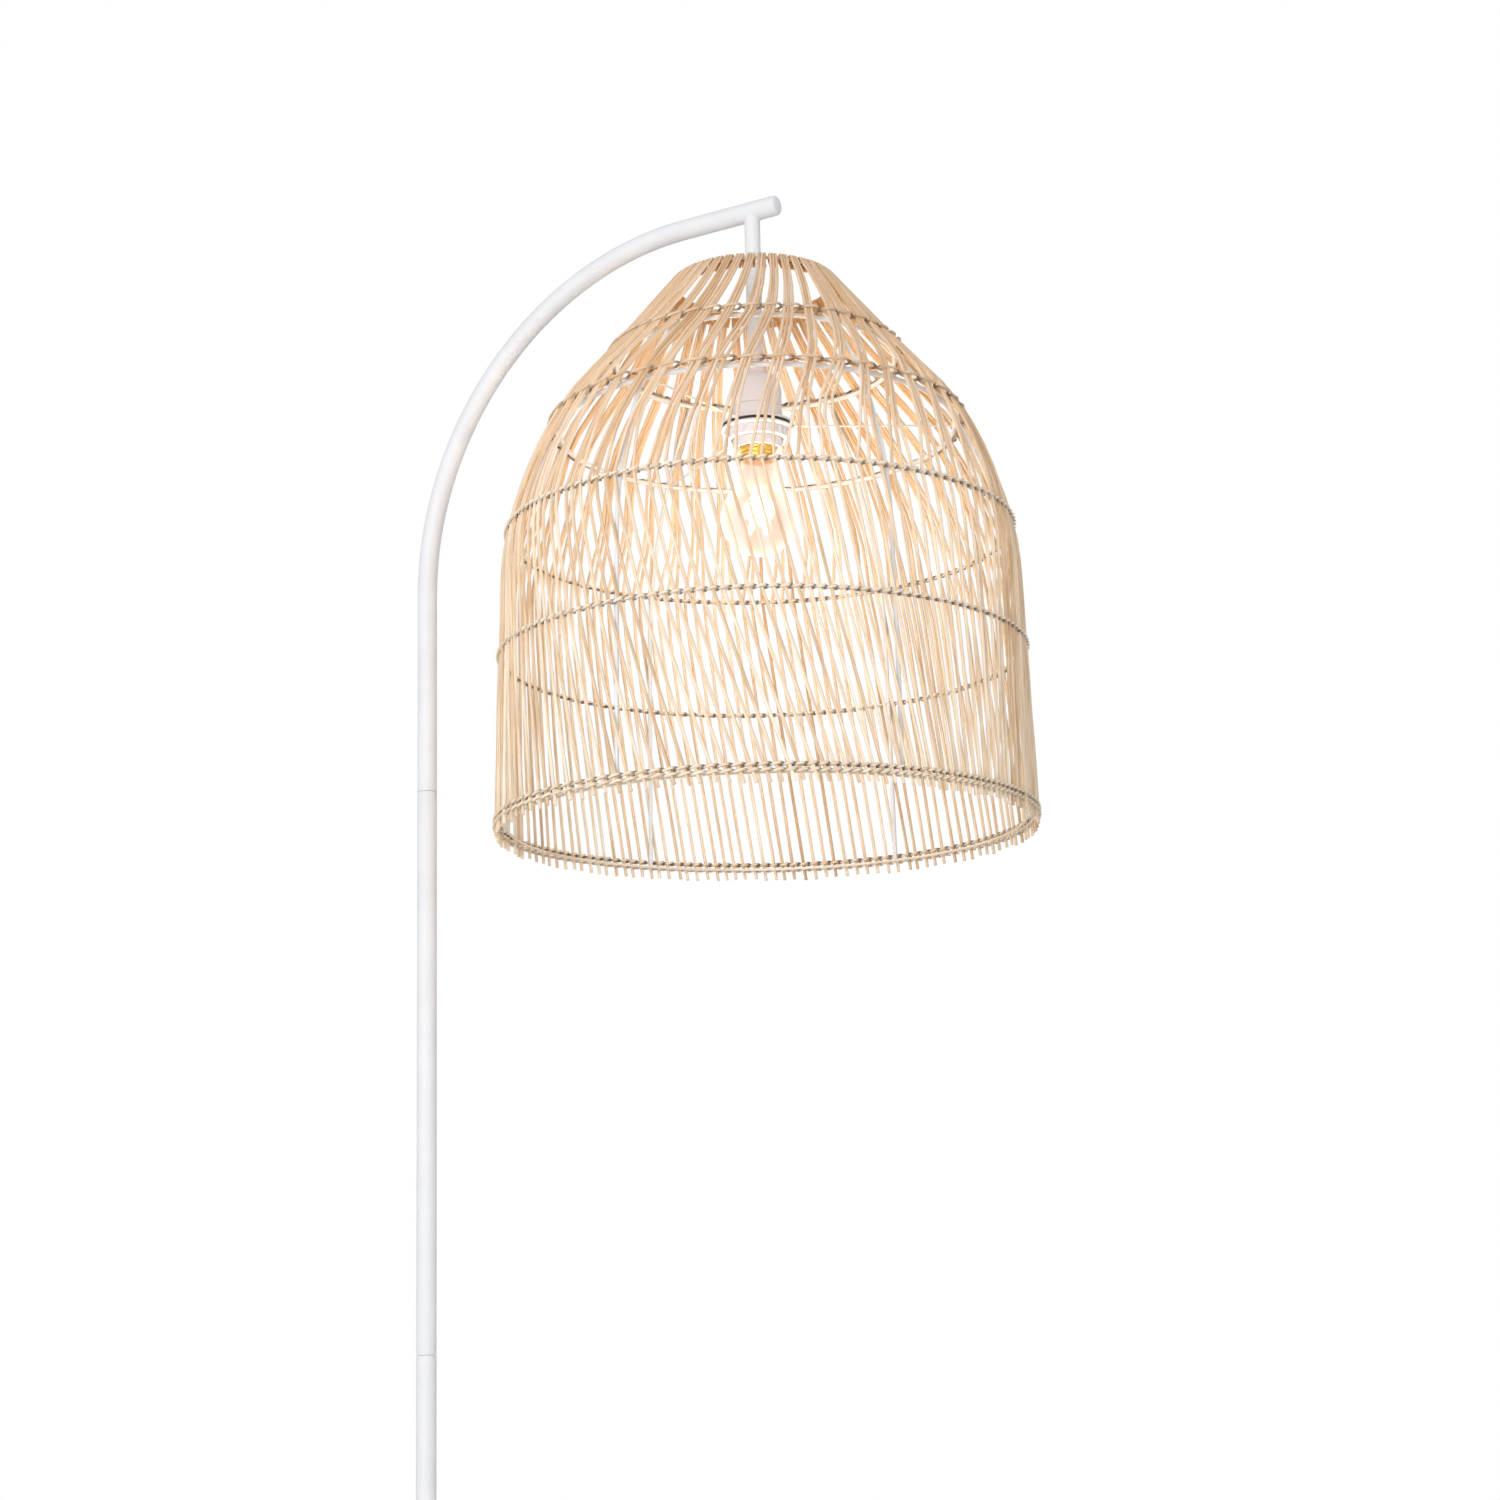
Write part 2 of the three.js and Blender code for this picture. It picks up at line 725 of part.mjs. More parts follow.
// Screw ring: a flange under the carrier and a ribbed collar on the skirt's thread
function makeScrewRing() {
  const bore = polygon(skirtRadius + seatGap, turnedSides);
  const flangeBottom = ringTop - ringFlangeThickness;
  const flange = upright(polygon(flangeRadius, turnedSides), flangeBottom, ringFlangeThickness, bore);
  const grip = Array.from({ length: 2 * ringGripCount }, (_, i) => {
    const radius = ringCollarRadius - (i % 2) * ringGripDepth;
    const angle = (i * Math.PI) / ringGripCount;
    return new THREE.Vector2(radius * Math.cos(angle), radius * Math.sin(angle));
  });
  const collar = upright(grip, flangeBottom - ringCollarHeight, ringCollarHeight, bore);
  const ring = join(flange, collar);
  ring.translate(armReach, 0, 0);
  return piece("shade_ring", ring, whitePlastic);
}

// The shade's wall: its radius and height at a share of its height, straight between the stations
const wallCurve = new THREE.SplineCurve(
  hoopHeightShares.map(
    (share, i) =>
      new THREE.Vector2(hoopRadiusShares[i] * rimRadius, shadeBottom + share * shadeHeight),
  ),
);
const finePoints = wallCurve.getPoints(caneCount);
function radiusOnCurve(height) {
  const after = finePoints.findIndex((point) => point.y <= height);
  if (after <= 0) return finePoints[Math.max(after, 0)].x;
  const upper = finePoints[after - 1];
  const lower = finePoints[after];
  return THREE.MathUtils.mapLinear(height, upper.y, lower.y, upper.x, lower.x);
}
const stations = stationShares.map((share) => {
  const height = shadeBottom + share * shadeHeight;
  return new THREE.Vector2(radiusOnCurve(height), height);
});
// The canes' last stretch runs on past the rim as a cut tip
const lastRun = stations.at(-1).clone().sub(stations.at(-2)).normalize();
stations.splice(-1, 1, stations.at(-1).clone().addScaledVector(lastRun, caneTipLength));

// The wall's place, its way down and its way out at a height
function wallAt(height) {
  let index = stations.findIndex((point) => point.y < height);
  if (index < 1) index = index === 0 ? 1 : stations.length - 1;
  const upper = stations[index - 1];
  const lower = stations[index];
  const down = lower.clone().sub(upper).normalize();
  const radius = THREE.MathUtils.mapLinear(height, upper.y, lower.y, upper.x, lower.x);
  return { radius, height, down, out: new THREE.Vector2(-down.y, down.x) };
}

// The way out at a station, halfway between the stretches that meet there
function stationOut(index) {
  const before = stations[Math.max(index - 1, 0)];
  const after = stations[Math.min(index + 1, stations.length - 1)];
  const down = after.clone().sub(before).normalize();
  return new THREE.Vector2(-down.y, down.x);
}

// A point of the weave: a station, an angle round the shade and a distance out from the wall's middle
function weavePoint(index, angle, out) {
  const place = stations[index].clone().addScaledVector(stationOut(index), out);
  const shift = (skewShares[index] * rimRadius) / stations[index].x;
  const beside = skewDirection - angle;
  const draw = drawAngles[index] * Math.cos(2 * beside);
  const turn = angle + twistAngles[index] + shift * Math.sin(beside) - draw;
  return [place.x * Math.cos(turn), place.x * Math.sin(turn), place.y];
}

// Cane cage: 48 flat bands bound in the top hoop, each parting into three canes that fan out evenly
function makeCaneCage() {
  const positions = [];
  const faces = [];
  const addPoint = (point) => positions.push(...point) / 3 - 1;
  const quad = (a, b, c, d) => faces.push(a, b, c, a, c, d);
  const half = caneThickness / 2;
  const bandAngle = (2 * Math.PI) / caneBands;
  const lastIndex = stations.length - 1;
  // One edge of a cane or a band at a station, as its outer and inner point
  const edge = (index, angle) => [half, -half].map((out) => addPoint(weavePoint(index, angle, out)));
  const stretch = (above, below) => {
    quad(above.left[0], below.left[0], below.right[0], above.right[0]);
    quad(above.right[1], below.right[1], below.left[1], above.left[1]);
    quad(above.left[1], below.left[1], below.left[0], above.left[0]);
    quad(above.right[0], below.right[0], below.right[1], above.right[1]);
  };

  // The top hoop continues each band upwards and closes the gaps between them
  const topRadius = stations[0].x;
  const up = stations[0].clone().sub(stations[1]).normalize().multiplyScalar(topHoopHeight);
  const corners = [];
  for (let band = 0; band < caneBands; band += 1) {
    for (const side of [-1, 1]) {
      const angle = band * bandAngle + (side * bandTopWidth) / 2 / topRadius;
      const lower = edge(0, angle);
      const upper = [half, -half].map((out) => {
        const place = stations[0].clone().addScaledVector(stationOut(0), out).add(up);
        return addPoint([place.x * Math.cos(angle), place.x * Math.sin(angle), place.y]);
      });
      corners.push({ lower, upper });
    }
  }
  corners.forEach((here, i) => {
    const next = corners[(i + 1) % corners.length];
    quad(here.lower[0], next.lower[0], next.upper[0], here.upper[0]);
    quad(next.lower[1], here.lower[1], here.upper[1], next.upper[1]);
    quad(here.upper[0], next.upper[0], next.upper[1], here.upper[1]);
    if (i % 2) quad(here.lower[1], next.lower[1], next.lower[0], here.lower[0]);
  });

  for (let band = 0; band < caneBands; band += 1) {
    const centre = band * bandAngle;
    let strip = { left: corners[2 * band].lower, right: corners[2 * band + 1].lower };
    for (let index = 1; index < partStation; index += 1) {
      const spread = (canesPerBand * caneWidth) / 2 / stations[index].x;
      const below = { left: edge(index, centre - spread), right: edge(index, centre + spread) };
      stretch(strip, below);
      strip = below;
    }
    const { left, right } = strip;
    // Where the band parts, neighbouring canes still share an edge
    const shared = Array.from({ length: canesPerBand + 1 }, (_, i) =>
      edge(partStation, centre + ((i - canesPerBand / 2) * caneWidth) / stations[partStation].x),
    );
    const middle = Math.floor(shared.length / 2);
    for (let i = 0; i < canesPerBand; i += 1) {
      const near = i < middle ? left : right;
      faces.push(near[0], shared[i][0], shared[i + 1][0]);
      faces.push(near[1], shared[i + 1][1], shared[i][1]);
    }
    faces.push(left[0], shared[middle][0], right[0]);
    faces.push(left[1], right[1], shared[middle][1]);
    quad(left[1], shared[0][1], shared[0][0], left[0]);
    quad(right[0], shared.at(-1)[0], shared.at(-1)[1], right[1]);

    for (let caneIndex = 0; caneIndex < canesPerBand; caneIndex += 1) {
      const offset = caneIndex - (canesPerBand - 1) / 2;
      let above = {
        left: shared[caneIndex],
        right: shared[caneIndex + 1],
      };
      for (let index = partStation + 1; index <= lastIndex; index += 1) {
        const radius = stations[index].x;
        const closePitch = caneWidth / radius;
        const evenPitch = (2 * Math.PI) / caneCount;
        const pitch = THREE.MathUtils.lerp(closePitch, evenPitch, fanShares[index]);
        const angle = centre + offset * pitch;
        const spread = caneWidth / 2 / radius;
        const below = { left: edge(index, angle - spread), right: edge(index, angle + spread) };
        stretch(above, below);
        above = below;
      }
      quad(above.left[0], above.left[1], above.right[1], above.right[0]);
    }
  }
  const geometry = new THREE.BufferGeometry();
  geometry.setAttribute("position", new THREE.Float32BufferAttribute(positions, 3));
  geometry.setIndex(faces);
  return geometry;
}

// A woven hoop: a flat band lying round the outside of the canes
function makeHoop(height) {
  const { down, out, radius } = wallAt(height);
  // A faceted ring is nearer the axis at the middle of each facet
  const facetDip = radius * (1 - Math.cos(Math.PI / ringSides));
  const inside = caneThickness / 2 + seatGap + facetDip;
  const corner = (along, away) => {
    const point = new THREE.Vector2(radius, height);
    point.addScaledVector(down, along).addScaledVector(out, away);
    return [point.x, point.y];
  };
  const halfHeight = hoopHeight / 2;
  return turned(
    [
      corner(halfHeight, inside),
      corner(halfHeight * hoopCrownShare, inside + hoopThickness),
      corner(-halfHeight * hoopCrownShare, inside + hoopThickness),
      corner(-halfHeight, inside),
      corner(halfHeight, inside),
    ],
    ringSides,
  );
}

// Shade: cane cage, five outer hoops, and the wire frame with its carrier
function makeShade() {
  const shade = new THREE.Group();
  shade.position.set(armReach, 0, 0);
  shade.add(piece("cane_cage", makeCaneCage(), cane));
  const hoopNames = ["hoop_neck", "hoop_shoulder", "hoop_upper", "hoop_middle", "hoop_rim"];
  hoopNames.forEach((name, i) => {
    const height = shadeBottom + hoopHeightShares[i + 1] * shadeHeight;
    shade.add(piece(name, makeHoop(height), weaver));
  });

  // Uprights follow the inside of the canes, and the ring wires lie inside the uprights
  const uprightInset = caneThickness / 2 + frameGap + uprightRadius;
  for (let i = 0; i < uprightCount; i += 1) {
    const angle = ((i + 0.5) * 2 * Math.PI) / uprightCount;
    const route = stations.slice(1).map((point, index) => {
      const place = point.clone().addScaledVector(stationOut(index + 1), -uprightInset);
      return new THREE.Vector3(place.x * Math.cos(angle), place.x * Math.sin(angle), place.y);
    });
    const last = route.length - 1;
    const stretch = caneTipLength / route[last].distanceTo(route[last - 1]);
    route[last].lerp(route[last - 1], stretch);
    shade.add(piece(`frame_upright_${i + 1}`, swept(route, uprightRadius, wireSides), powderCoat));
  }
  const ringInset = uprightInset + uprightRadius + seatGap + wireRadius;
  const ringPlaces = [
    ["frame_ring_neck", hoopHeightShares[1], powderCoat],
    ["frame_ring_shoulder", carrierHeightShare, powderCoat],
    ["frame_ring_rim", 0, weaver],
  ];
  const rings = ringPlaces.map(([name, share, material]) => {
    const wall = wallAt(shadeBottom + share * shadeHeight);
    const place = new THREE.Vector2(wall.radius, wall.height).addScaledVector(wall.out, -ringInset);
    const ring = new THREE.TorusGeometry(place.x, wireRadius, wireSides, ringSides);
    shade.add(piece(name, ring.translate(0, 0, place.y), material));
    return place;
  });

  const plate = upright(
    polygon(carrierRadius, turnedSides),
    carrierBottom,
    carrierThickness,
    polygon(skirtRadius + seatGap, turnedSides),
  );
  shade.add(piece("carrier_plate", plate, blackPaint));
  // Each spoke runs level out of the clamp before it slopes to the ring
  const spokeRadius = carrierThickness / 2;
  const ringPlace = rings[1];
  for (let i = 0; i < spokeCount; i += 1) {
    const angle = Math.PI / uprightCount + (i * 2 * Math.PI) / spokeCount;
    const way = new THREE.Vector3(Math.cos(angle), Math.sin(angle), 0);
    const inner = way.clone().multiplyScalar(carrierRadius + seatGap);
    const level = way.clone().multiplyScalar(flangeRadius + spokeShoulder);
    const outer = way.clone().multiplyScalar(ringPlace.x - wireRadius - 2 * seatGap);
    inner.z = (carrierTop + carrierBottom) / 2;
    level.z = inner.z;
    outer.z = ringPlace.y;
    const spoke = swept([inner, level, outer], spokeRadius, wireSides);
    shade.add(piece(`carrier_spoke_${i + 1}`, spoke, powderCoat));
  }
  return shade;
}

const lamp = new THREE.Group();
lamp.name = "rattan_floor_lamp";
lamp.add(makeFoot(), makePole(), makeArm(), makeLead(), makeHolder());
lamp.add(makeBulb(), makeScrewRing(), makeShade());

export default lamp;
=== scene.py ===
# Rattan floor lamp: finished surfaces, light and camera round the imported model. Metres, +Z up.
import json
import math
import random

import bmesh
import bpy
from mathutils import Matrix, Vector


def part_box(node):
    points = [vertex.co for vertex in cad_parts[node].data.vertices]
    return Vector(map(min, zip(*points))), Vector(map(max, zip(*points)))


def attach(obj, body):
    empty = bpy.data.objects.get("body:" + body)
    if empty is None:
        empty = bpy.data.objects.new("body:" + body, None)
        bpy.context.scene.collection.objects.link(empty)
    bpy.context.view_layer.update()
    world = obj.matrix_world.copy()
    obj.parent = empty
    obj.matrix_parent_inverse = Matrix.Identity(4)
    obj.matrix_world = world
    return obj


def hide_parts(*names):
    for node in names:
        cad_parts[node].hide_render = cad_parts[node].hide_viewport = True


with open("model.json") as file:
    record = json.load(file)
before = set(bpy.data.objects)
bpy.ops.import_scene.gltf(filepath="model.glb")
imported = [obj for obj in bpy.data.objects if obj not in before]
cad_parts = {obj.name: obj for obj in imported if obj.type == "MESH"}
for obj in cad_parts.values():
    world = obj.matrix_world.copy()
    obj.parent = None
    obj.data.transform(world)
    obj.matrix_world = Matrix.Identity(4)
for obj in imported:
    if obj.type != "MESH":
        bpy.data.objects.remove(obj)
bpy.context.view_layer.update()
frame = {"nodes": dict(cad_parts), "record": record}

scene = bpy.context.scene
MM = 0.001
full_turn = 2 * math.pi
quarter_turn = math.pi / 2
chance = random.Random(48144)
turned_sides = 96
# Points this close are one point, and edges with more than this bend look sharp
same_place = 0.001 * MM
crease_angle = math.radians(38)

# Camera, standing where the photograph was taken. Its lens and sensor are in millimetres
camera_place = Vector((1432.3, -1810.1, 465.1)) * MM
camera_azimuth = math.radians(121.70)
camera_pitch = math.radians(12.265)
camera_roll = math.radians(-1.341)
camera_lens = 67.975
camera_sensor = 36
camera_far_end = 100
camera_right = Vector((math.sin(camera_azimuth), -math.cos(camera_azimuth), 0))

# White studio: how bright it is behind the lamp and on the camera's side
studio_back = 0.48
studio_front = 0.95

# Large soft lamp, and its place: from the shade towards the camera, to its left and up
look_height = 1.1
key_watts = 25
key_width = 1.4
key_nearer = 2.2
key_left = 0.8
key_up = 0.4

# The bulb's own light
bulb_watts = 1
bulb_light_radius = 12 * MM

# Floor, which fades to white between two distances from the foot
floor_radius = 3.2
floor_fade_start = 0.5
floor_fade_end = 1.8

# Pole and arm
pole_radius = 8 * MM
pole_wall = 1.2 * MM
pole_edge = 0.35 * MM
pole_sides = 64
arm_bend_radius = 263 * MM
arm_bend_steps = 72
cap_gap = 0.3 * MM
cap_side = 0.2 * MM
cap_edge = 2.4 * MM
cap_edge_degrees = 60
cap_edge_steps = 6
cap_dome = 3.2 * MM
cap_dome_steps = 8
plug_length = 10 * MM
plug_play = 0.3 * MM

# Drop tube and the weld that holds it under the arm
drop_radius = 6.2 * MM
drop_wall = 0.9 * MM
drop_sides = 64
weld_leg = 1.6 * MM
weld_margin = 4 * MM
weld_overlap = 0.5 * MM
weld_steps = 6

# Foot
foot_edge_radius = 5 * MM
foot_edge_steps = 12
foot_wall = 1.5 * MM
foot_sides = 192
stud_hole_radius = 5.3 * MM
inlet_height = 9 * MM
inlet_hole_radius = 4.5 * MM
inlet_overhang = 2 * MM
inlet_sides = 32
sheet_edge = 0.5 * MM
sheet_sides = 160

# Lamp holder: bell cap, threaded skirt with its flange, insert and screw shell
nipple_hole_radius = 5.3 * MM
bell_neck_radius = 8.2 * MM
bell_collar = 4 * MM
bell_height = 16 * MM
bell_wall = 1.6 * MM
bell_edge = 0.6 * MM
bell_steps = 14
skirt_wall = 2.5 * MM
skirt_bevel = 0.4 * MM
skirt_edge = 0.6 * MM
flange_depth = 12.5 * MM
flange_thickness = 2 * MM
thread_pitch = 2.4 * MM
thread_depth = 0.55 * MM
thread_start = 1.2 * MM
thread_run_out = 1.5 * MM
tooth_shares = (0, 0.3, 0.5, 0.8)
insert_edge = 0.5 * MM
insert_play = 0.3 * MM
shell_wall = 0.35 * MM
shell_wave = 0.2 * MM
shell_threads = 6
lip_setback = 0.4 * MM
lip_gap = 0.3 * MM
lip_thickness = 0.5 * MM

# Screw ring
ring_bore = 20 * MM
ring_edge = 0.6 * MM
ring_flange_thickness = 2.5 * MM
collar_radius = 24.5 * MM
collar_fillet = 0.3 * MM
rib_count = 24
rib_depth = 0.8 * MM
rib_steepness = 2.2
rib_steps = 8

# Bulb: cap, brass sleeve under it, glass, stem and glowing strips
thread_steps = 60
cap_seat_radius = 11.1 * MM
cap_seat_depth = 3 * MM
cap_threads = 5
cap_wave = 0.35 * MM
cap_thread_start = 1 * MM
cap_thread_end = 4.4 * MM
# The contact at the cap's end, as radius and depth below the end in millimetres
contact_profile = [(9, 2.4), (5.5, 1.8), (5, 0.8), (3.5, 0), (0, 0)]
sleeve_reach = 9.5 * MM
sleeve_gap = 0.1 * MM
sleeve_wall = 0.05 * MM
sleeve_wave = 0.2 * MM
sleeve_threads = 3
sleeve_steps = 36
glass_wall = 1 * MM
glass_neck_radius = 12.4 * MM
glass_shoulder_degrees = 38
glass_ball_steps = 40
glass_sweep_steps = 14
glass_sweep_power = 2.2
stem_radius = 2.25 * MM
stem_tip_share = 0.7
stem_tip_rise = 0.3 * MM
stem_side_rise = 1 * MM
stem_foot_radius = 4.5 * MM
stem_foot_height = 14 * MM
stem_foot_steps = 8
stem_sides = 32
strip_count = 4
strip_radius = 1 * MM
strip_sides = 8
strip_steps = 6
strip_top_spread = 3.55 * MM
strip_foot_spread = 9 * MM

# Shade wall: the hoops' heights as shares of the shade's height, and the radius there
shade_height = 436 * MM
rim_radius = 205 * MM
middle_share = 0.303
upper_share = 0.525
parting_share = 0.63
shoulder_share = 0.727
neck_share = 0.859
hoop_height_shares = [0, middle_share, upper_share, shoulder_share, neck_share, 1]
hoop_radius_shares = [1, 0.985, 0.955, 0.789, 0.563, 0.32]
wall_steps = 16
slope_step_share = 0.004

# How far the bands have fanned out into single canes, up the wall
fan_shares = [(0, 1), (upper_share, 1), (parting_share, 0.2), (shoulder_share, 0), (1, 0)]
# The canes' lean round the wall, and how the weave was pulled: askew to one side, and crosswise
twist_degrees = [(0, -16), (upper_share, -16), (parting_share, -15.5), (shoulder_share, -12.5),
                 (neck_share, -7.3), (1, 0)]
skew_shares = [(0, 0.16), (middle_share, 0.01), (upper_share, -0.08), (parting_share, -0.06),
               (shoulder_share, -0.037), (neck_share, 0), (1, 0)]
skew_direction = math.radians(31.7)
draw_degrees = [(0, 5.7), (middle_share, 2), (upper_share, 0), (1, 0)]

# Canes
cane_bands = 48
canes_per_band = 3
cane_count = cane_bands * canes_per_band
cane_radius = 1.3 * MM
cane_width = 2 * cane_radius
cane_sides = 8
cane_steps = 26
cane_start_share = -0.02
cane_tip = 8 * MM
cane_tip_play = 1.4 * MM
cane_side_play = 0.7 * MM
band_side_play = 2 * MM
cane_bow = 0.6 * MM
cane_bow_turn = 9
# Towards the top ring the canes' play fades out over this share of the height
loose_share = 0.25
band_top_share = 0.78
band_slack_share = 1.1
middle_tone = 0.5
band_tone_play = 0.12
cane_tone_play = 0.17
tone_margin = 0.05
# How strongly painted shade darkens the canes up the wall, where the upturned cone gets less light, and in
# the fold, as painted shadow
top_shade_shares = [(0, 0), (0.5, 0.03), (shoulder_share, 0.26), (0.9, 0.34), (1, 0.32)]
fold_shadow_share = 0.9
fold_radius = 2.9 * MM
fold_tail = 9 * MM
fold_steps = 6
top_ring_steps = 96
top_ring_sides = 8

# Twined strands
strand_radius = 1.05 * MM
strand_rise = 0.8 * MM
loose_strand_rise = 1 * MM
strand_sides = 6
strand_steps = 10
strand_flatness = 1.2
rib_flatness = 2
# Half a band's width where the two upper hoops go round it
shoulder_rib_half = 1.9 * cane_width
neck_rib_half = 1.5 * cane_width
strand_tone_step = 0.06
strand_wander = 0.7 * MM
wander_waves = 4
# The rim has two rows, of which the upper one carries more painted shadow
rim_rows = (0, 4.4 * MM)
rim_painted_shadow_shares = (0.45, 1)
# Where the painted shadow on a strand is darkest on its way through, as shares of its way out
painted_shadow_centre_share = -0.1
painted_shadow_spread_share = 0.48
painted_shadow_depth_share = 0.92

# Wire frame and the carrier that hangs it on the holder
wire_radius = 1.9 * MM
wire_sides = 12
rim_ring_radius = 0.9 * MM
rim_ring_tone = 0.8
frame_ring_steps = 144
upright_radius = 1.6 * MM
upright_count = 6
upright_steps = 24
upright_inset = 3.9 * MM
disc_bore = 20 * MM
disc_edge = 0.4 * MM
disc_setback = 0.1 * MM
spoke_count = 3
spoke_radius = 0.8 * MM
spoke_sides = 10
spoke_steps = 8
spoke_start_angle = math.radians(30)
spoke_inset = 0.3 * MM
spoke_level_reach = 31.5 * MM
spoke_overlap = 1 * MM

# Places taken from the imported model
ring_low, ring_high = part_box("shade_ring")
axis = Vector(((ring_low.x + ring_high.x) / 2, (ring_low.y + ring_high.y) / 2, 0))
shade_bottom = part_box("carrier_plate")[0].z - shoulder_share * shade_height
arm_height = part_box("arm_tube")[1].z - pole_radius


def linear(hex_colour):
    """An sRGB hex colour as linear RGBA."""
    parts = [int(hex_colour[i:i + 2], 16) / 255 for i in (1, 3, 5)]
    return [p / 12.92 if p <= 0.04045 else ((p + 0.055) / 1.055) ** 2.4 for p in parts] + [1]


def set_inputs(tree, node, inputs):
    """Links a node's inputs to sockets, or sets them to values."""
    for name, value in inputs.items():
        if isinstance(value, bpy.types.NodeSocket):
            tree.links.new(value, node.inputs[name])
        else:
            node.inputs[name].default_value = value


def add(tree, kind, inputs=None, **settings):
    """Adds a node with its settings and inputs."""
    made = tree.nodes.new(kind)
    for name, value in settings.items():
        setattr(made, name, value)
    set_inputs(tree, made, inputs or {})
    return made


def start_material(name):
    """A new node material with a Principled shader, and its tree and shader."""
    material = bpy.data.materials.new(name)
    material.use_nodes = True
    tree = material.node_tree
    tree.nodes.clear()
    shader = add(tree, "ShaderNodeBsdfPrincipled")
    add(tree, "ShaderNodeOutputMaterial", {"Surface": shader.outputs["BSDF"]})
    return material, tree, shader


def show_mix(tree, factor, first, second):
    """Puts a mix of two shaders on the surface."""
    mixed = add(tree, "ShaderNodeMixShader", {0: factor, 1: first, 2: second})
    output = tree.get_output_node("ALL")
    tree.links.new(mixed.outputs["Shader"], output.inputs["Surface"])


def ramp(tree, factor, stops):
    """A colour ramp over sRGB hex colours at their positions."""
    made = add(tree, "ShaderNodeValToRGB", {"Fac": factor})
    elements = made.color_ramp.elements
    while len(elements) < len(stops):
        elements.new(0.5)
    for element, (position, colour) in zip(elements, stops):
        element.position = position
        element.color = linear(colour)
    return made.outputs["Color"]


def noise(tree, size, detail=2):
    """Noise over the object with grains of one size."""
    place = add(tree, "ShaderNodeTexCoord").outputs["Object"]
    made = add(tree, "ShaderNodeTexNoise", {"Vector": place, "Scale": 1 / size, "Detail": detail})
    return made.outputs["Fac"]


def grained(name, colours, roughness, grain, depth, metallic=0.0):
    """A fine even surface: colour and roughness drift over patches, and a grain stands up."""
    patch_size = 60 * MM
    material, tree, shader = start_material(name)
    patches = noise(tree, patch_size, 3)
    rough = add(tree, "ShaderNodeMapRange", {
        "Value": patches, "From Min": 0.3, "From Max": 0.7,
        "To Min": roughness[0], "To Max": roughness[1]})
    bump = add(tree, "ShaderNodeBump", {
        "Height": noise(tree, grain), "Distance": depth, "Strength": 1})
    set_inputs(tree, shader, {
        "Base Color": ramp(tree, patches, [(0.35, colours[0]), (0.65, colours[1])]),
        "Roughness": rough.outputs["Result"],
        "Normal": bump.outputs["Normal"],
        "Metallic": metallic})
    return material


def drawn_noise(tree, place, width, length, detail):
    """Noise with grains of one width across the fibre and one length along it."""
    scaled = add(tree, "ShaderNodeMapping", {
        "Vector": place, "Scale": (1 / width, 1 / width, 1 / length)})
    made = add(tree, "ShaderNodeTexNoise", {
        "Vector": scaled.outputs["Vector"], "Scale": 1, "Detail": detail})
    return made.outputs["Fac"]


def rattan(name, pale, middle, dark, painted_shade_colour):
    """Round rattan core, sanded and left raw: dry straight fibres, each cane with its own tone, and painted
    shade mixed in where the painted_shade attribute says.
    """
    fibre_depth = 0.12 * MM
    fibre_contrast = 0.75
    mottle_contrast = 0.9
    material, tree, shader = start_material(name)
    fibre = add(tree, "ShaderNodeAttribute", attribute_name="fibre").outputs["Vector"]
    tone = add(tree, "ShaderNodeAttribute", attribute_name="tone").outputs["Fac"]
    streaks = drawn_noise(tree, fibre, 0.35 * MM, 45 * MM, 2)
    mottle = drawn_noise(tree, fibre, 6 * MM, 38 * MM, 3)
    drift = add(tree, "ShaderNodeMath", {0: mottle, 1: 0.5}, operation="SUBTRACT")
    mixed = add(tree, "ShaderNodeMath", {0: drift.outputs["Value"], 1: mottle_contrast, 2: tone},
                operation="MULTIPLY_ADD")
    body = ramp(tree, mixed.outputs["Value"], [(0.05, dark), (0.5, middle), (0.95, pale)])
    lines = ramp(tree, streaks, [(0.3, "#bfa88c"), (0.6, "#ffffff")])
    fibred = add(tree, "ShaderNodeMix", {"Factor": fibre_contrast, 6: body, 7: lines},
                 data_type="RGBA", blend_type="MULTIPLY")
    # Painted shade: a deep colour mixed in where the painted_shade attribute says so
    painted_shade = add(tree, "ShaderNodeAttribute", attribute_name="painted_shade").outputs["Fac"]
    colour = add(tree, "ShaderNodeMix", {"Factor": painted_shade, 6: fibred.outputs[2], 7: linear(painted_shade_colour)},
                 data_type="RGBA", blend_type="MIX")
    bump = add(tree, "ShaderNodeBump", {"Height": streaks, "Distance": fibre_depth, "Strength": 1})
    rough = add(tree, "ShaderNodeMapRange", {"Value": streaks, "To Min": 0.5, "To Max": 0.72})
    set_inputs(tree, shader, {
        "Base Color": colour.outputs[2],
        "Roughness": rough.outputs["Result"],
        "Normal": bump.outputs["Normal"]})
    return material


def etched_glass():
    """Blown glass, etched inside: the strips show through it as one soft glow, with a faint veil of painted
    glow from the glass itself.
    """
    material, tree, shader = start_material("etched_blown_glass")
    set_inputs(tree, shader, {
        "Base Color": linear("#efe5e3"), "Roughness": 0.4, "IOR": 1.04, "Transmission Weight": 1,
        # Painted glow: a faint light from the glass itself, standing for the strips' light scattered in the
        # etching
        "Emission Color": linear("#ffe4e0"), "Emission Strength": 0.04})
    # Light on its way to the canes goes straight through
    open_way = add(tree, "ShaderNodeBsdfTransparent", {"Color": linear("#f6faf8")})
    ray = add(tree, "ShaderNodeLightPath").outputs["Is Shadow Ray"]
    show_mix(tree, ray, shader.outputs["BSDF"], open_way.outputs["BSDF"])
    return material


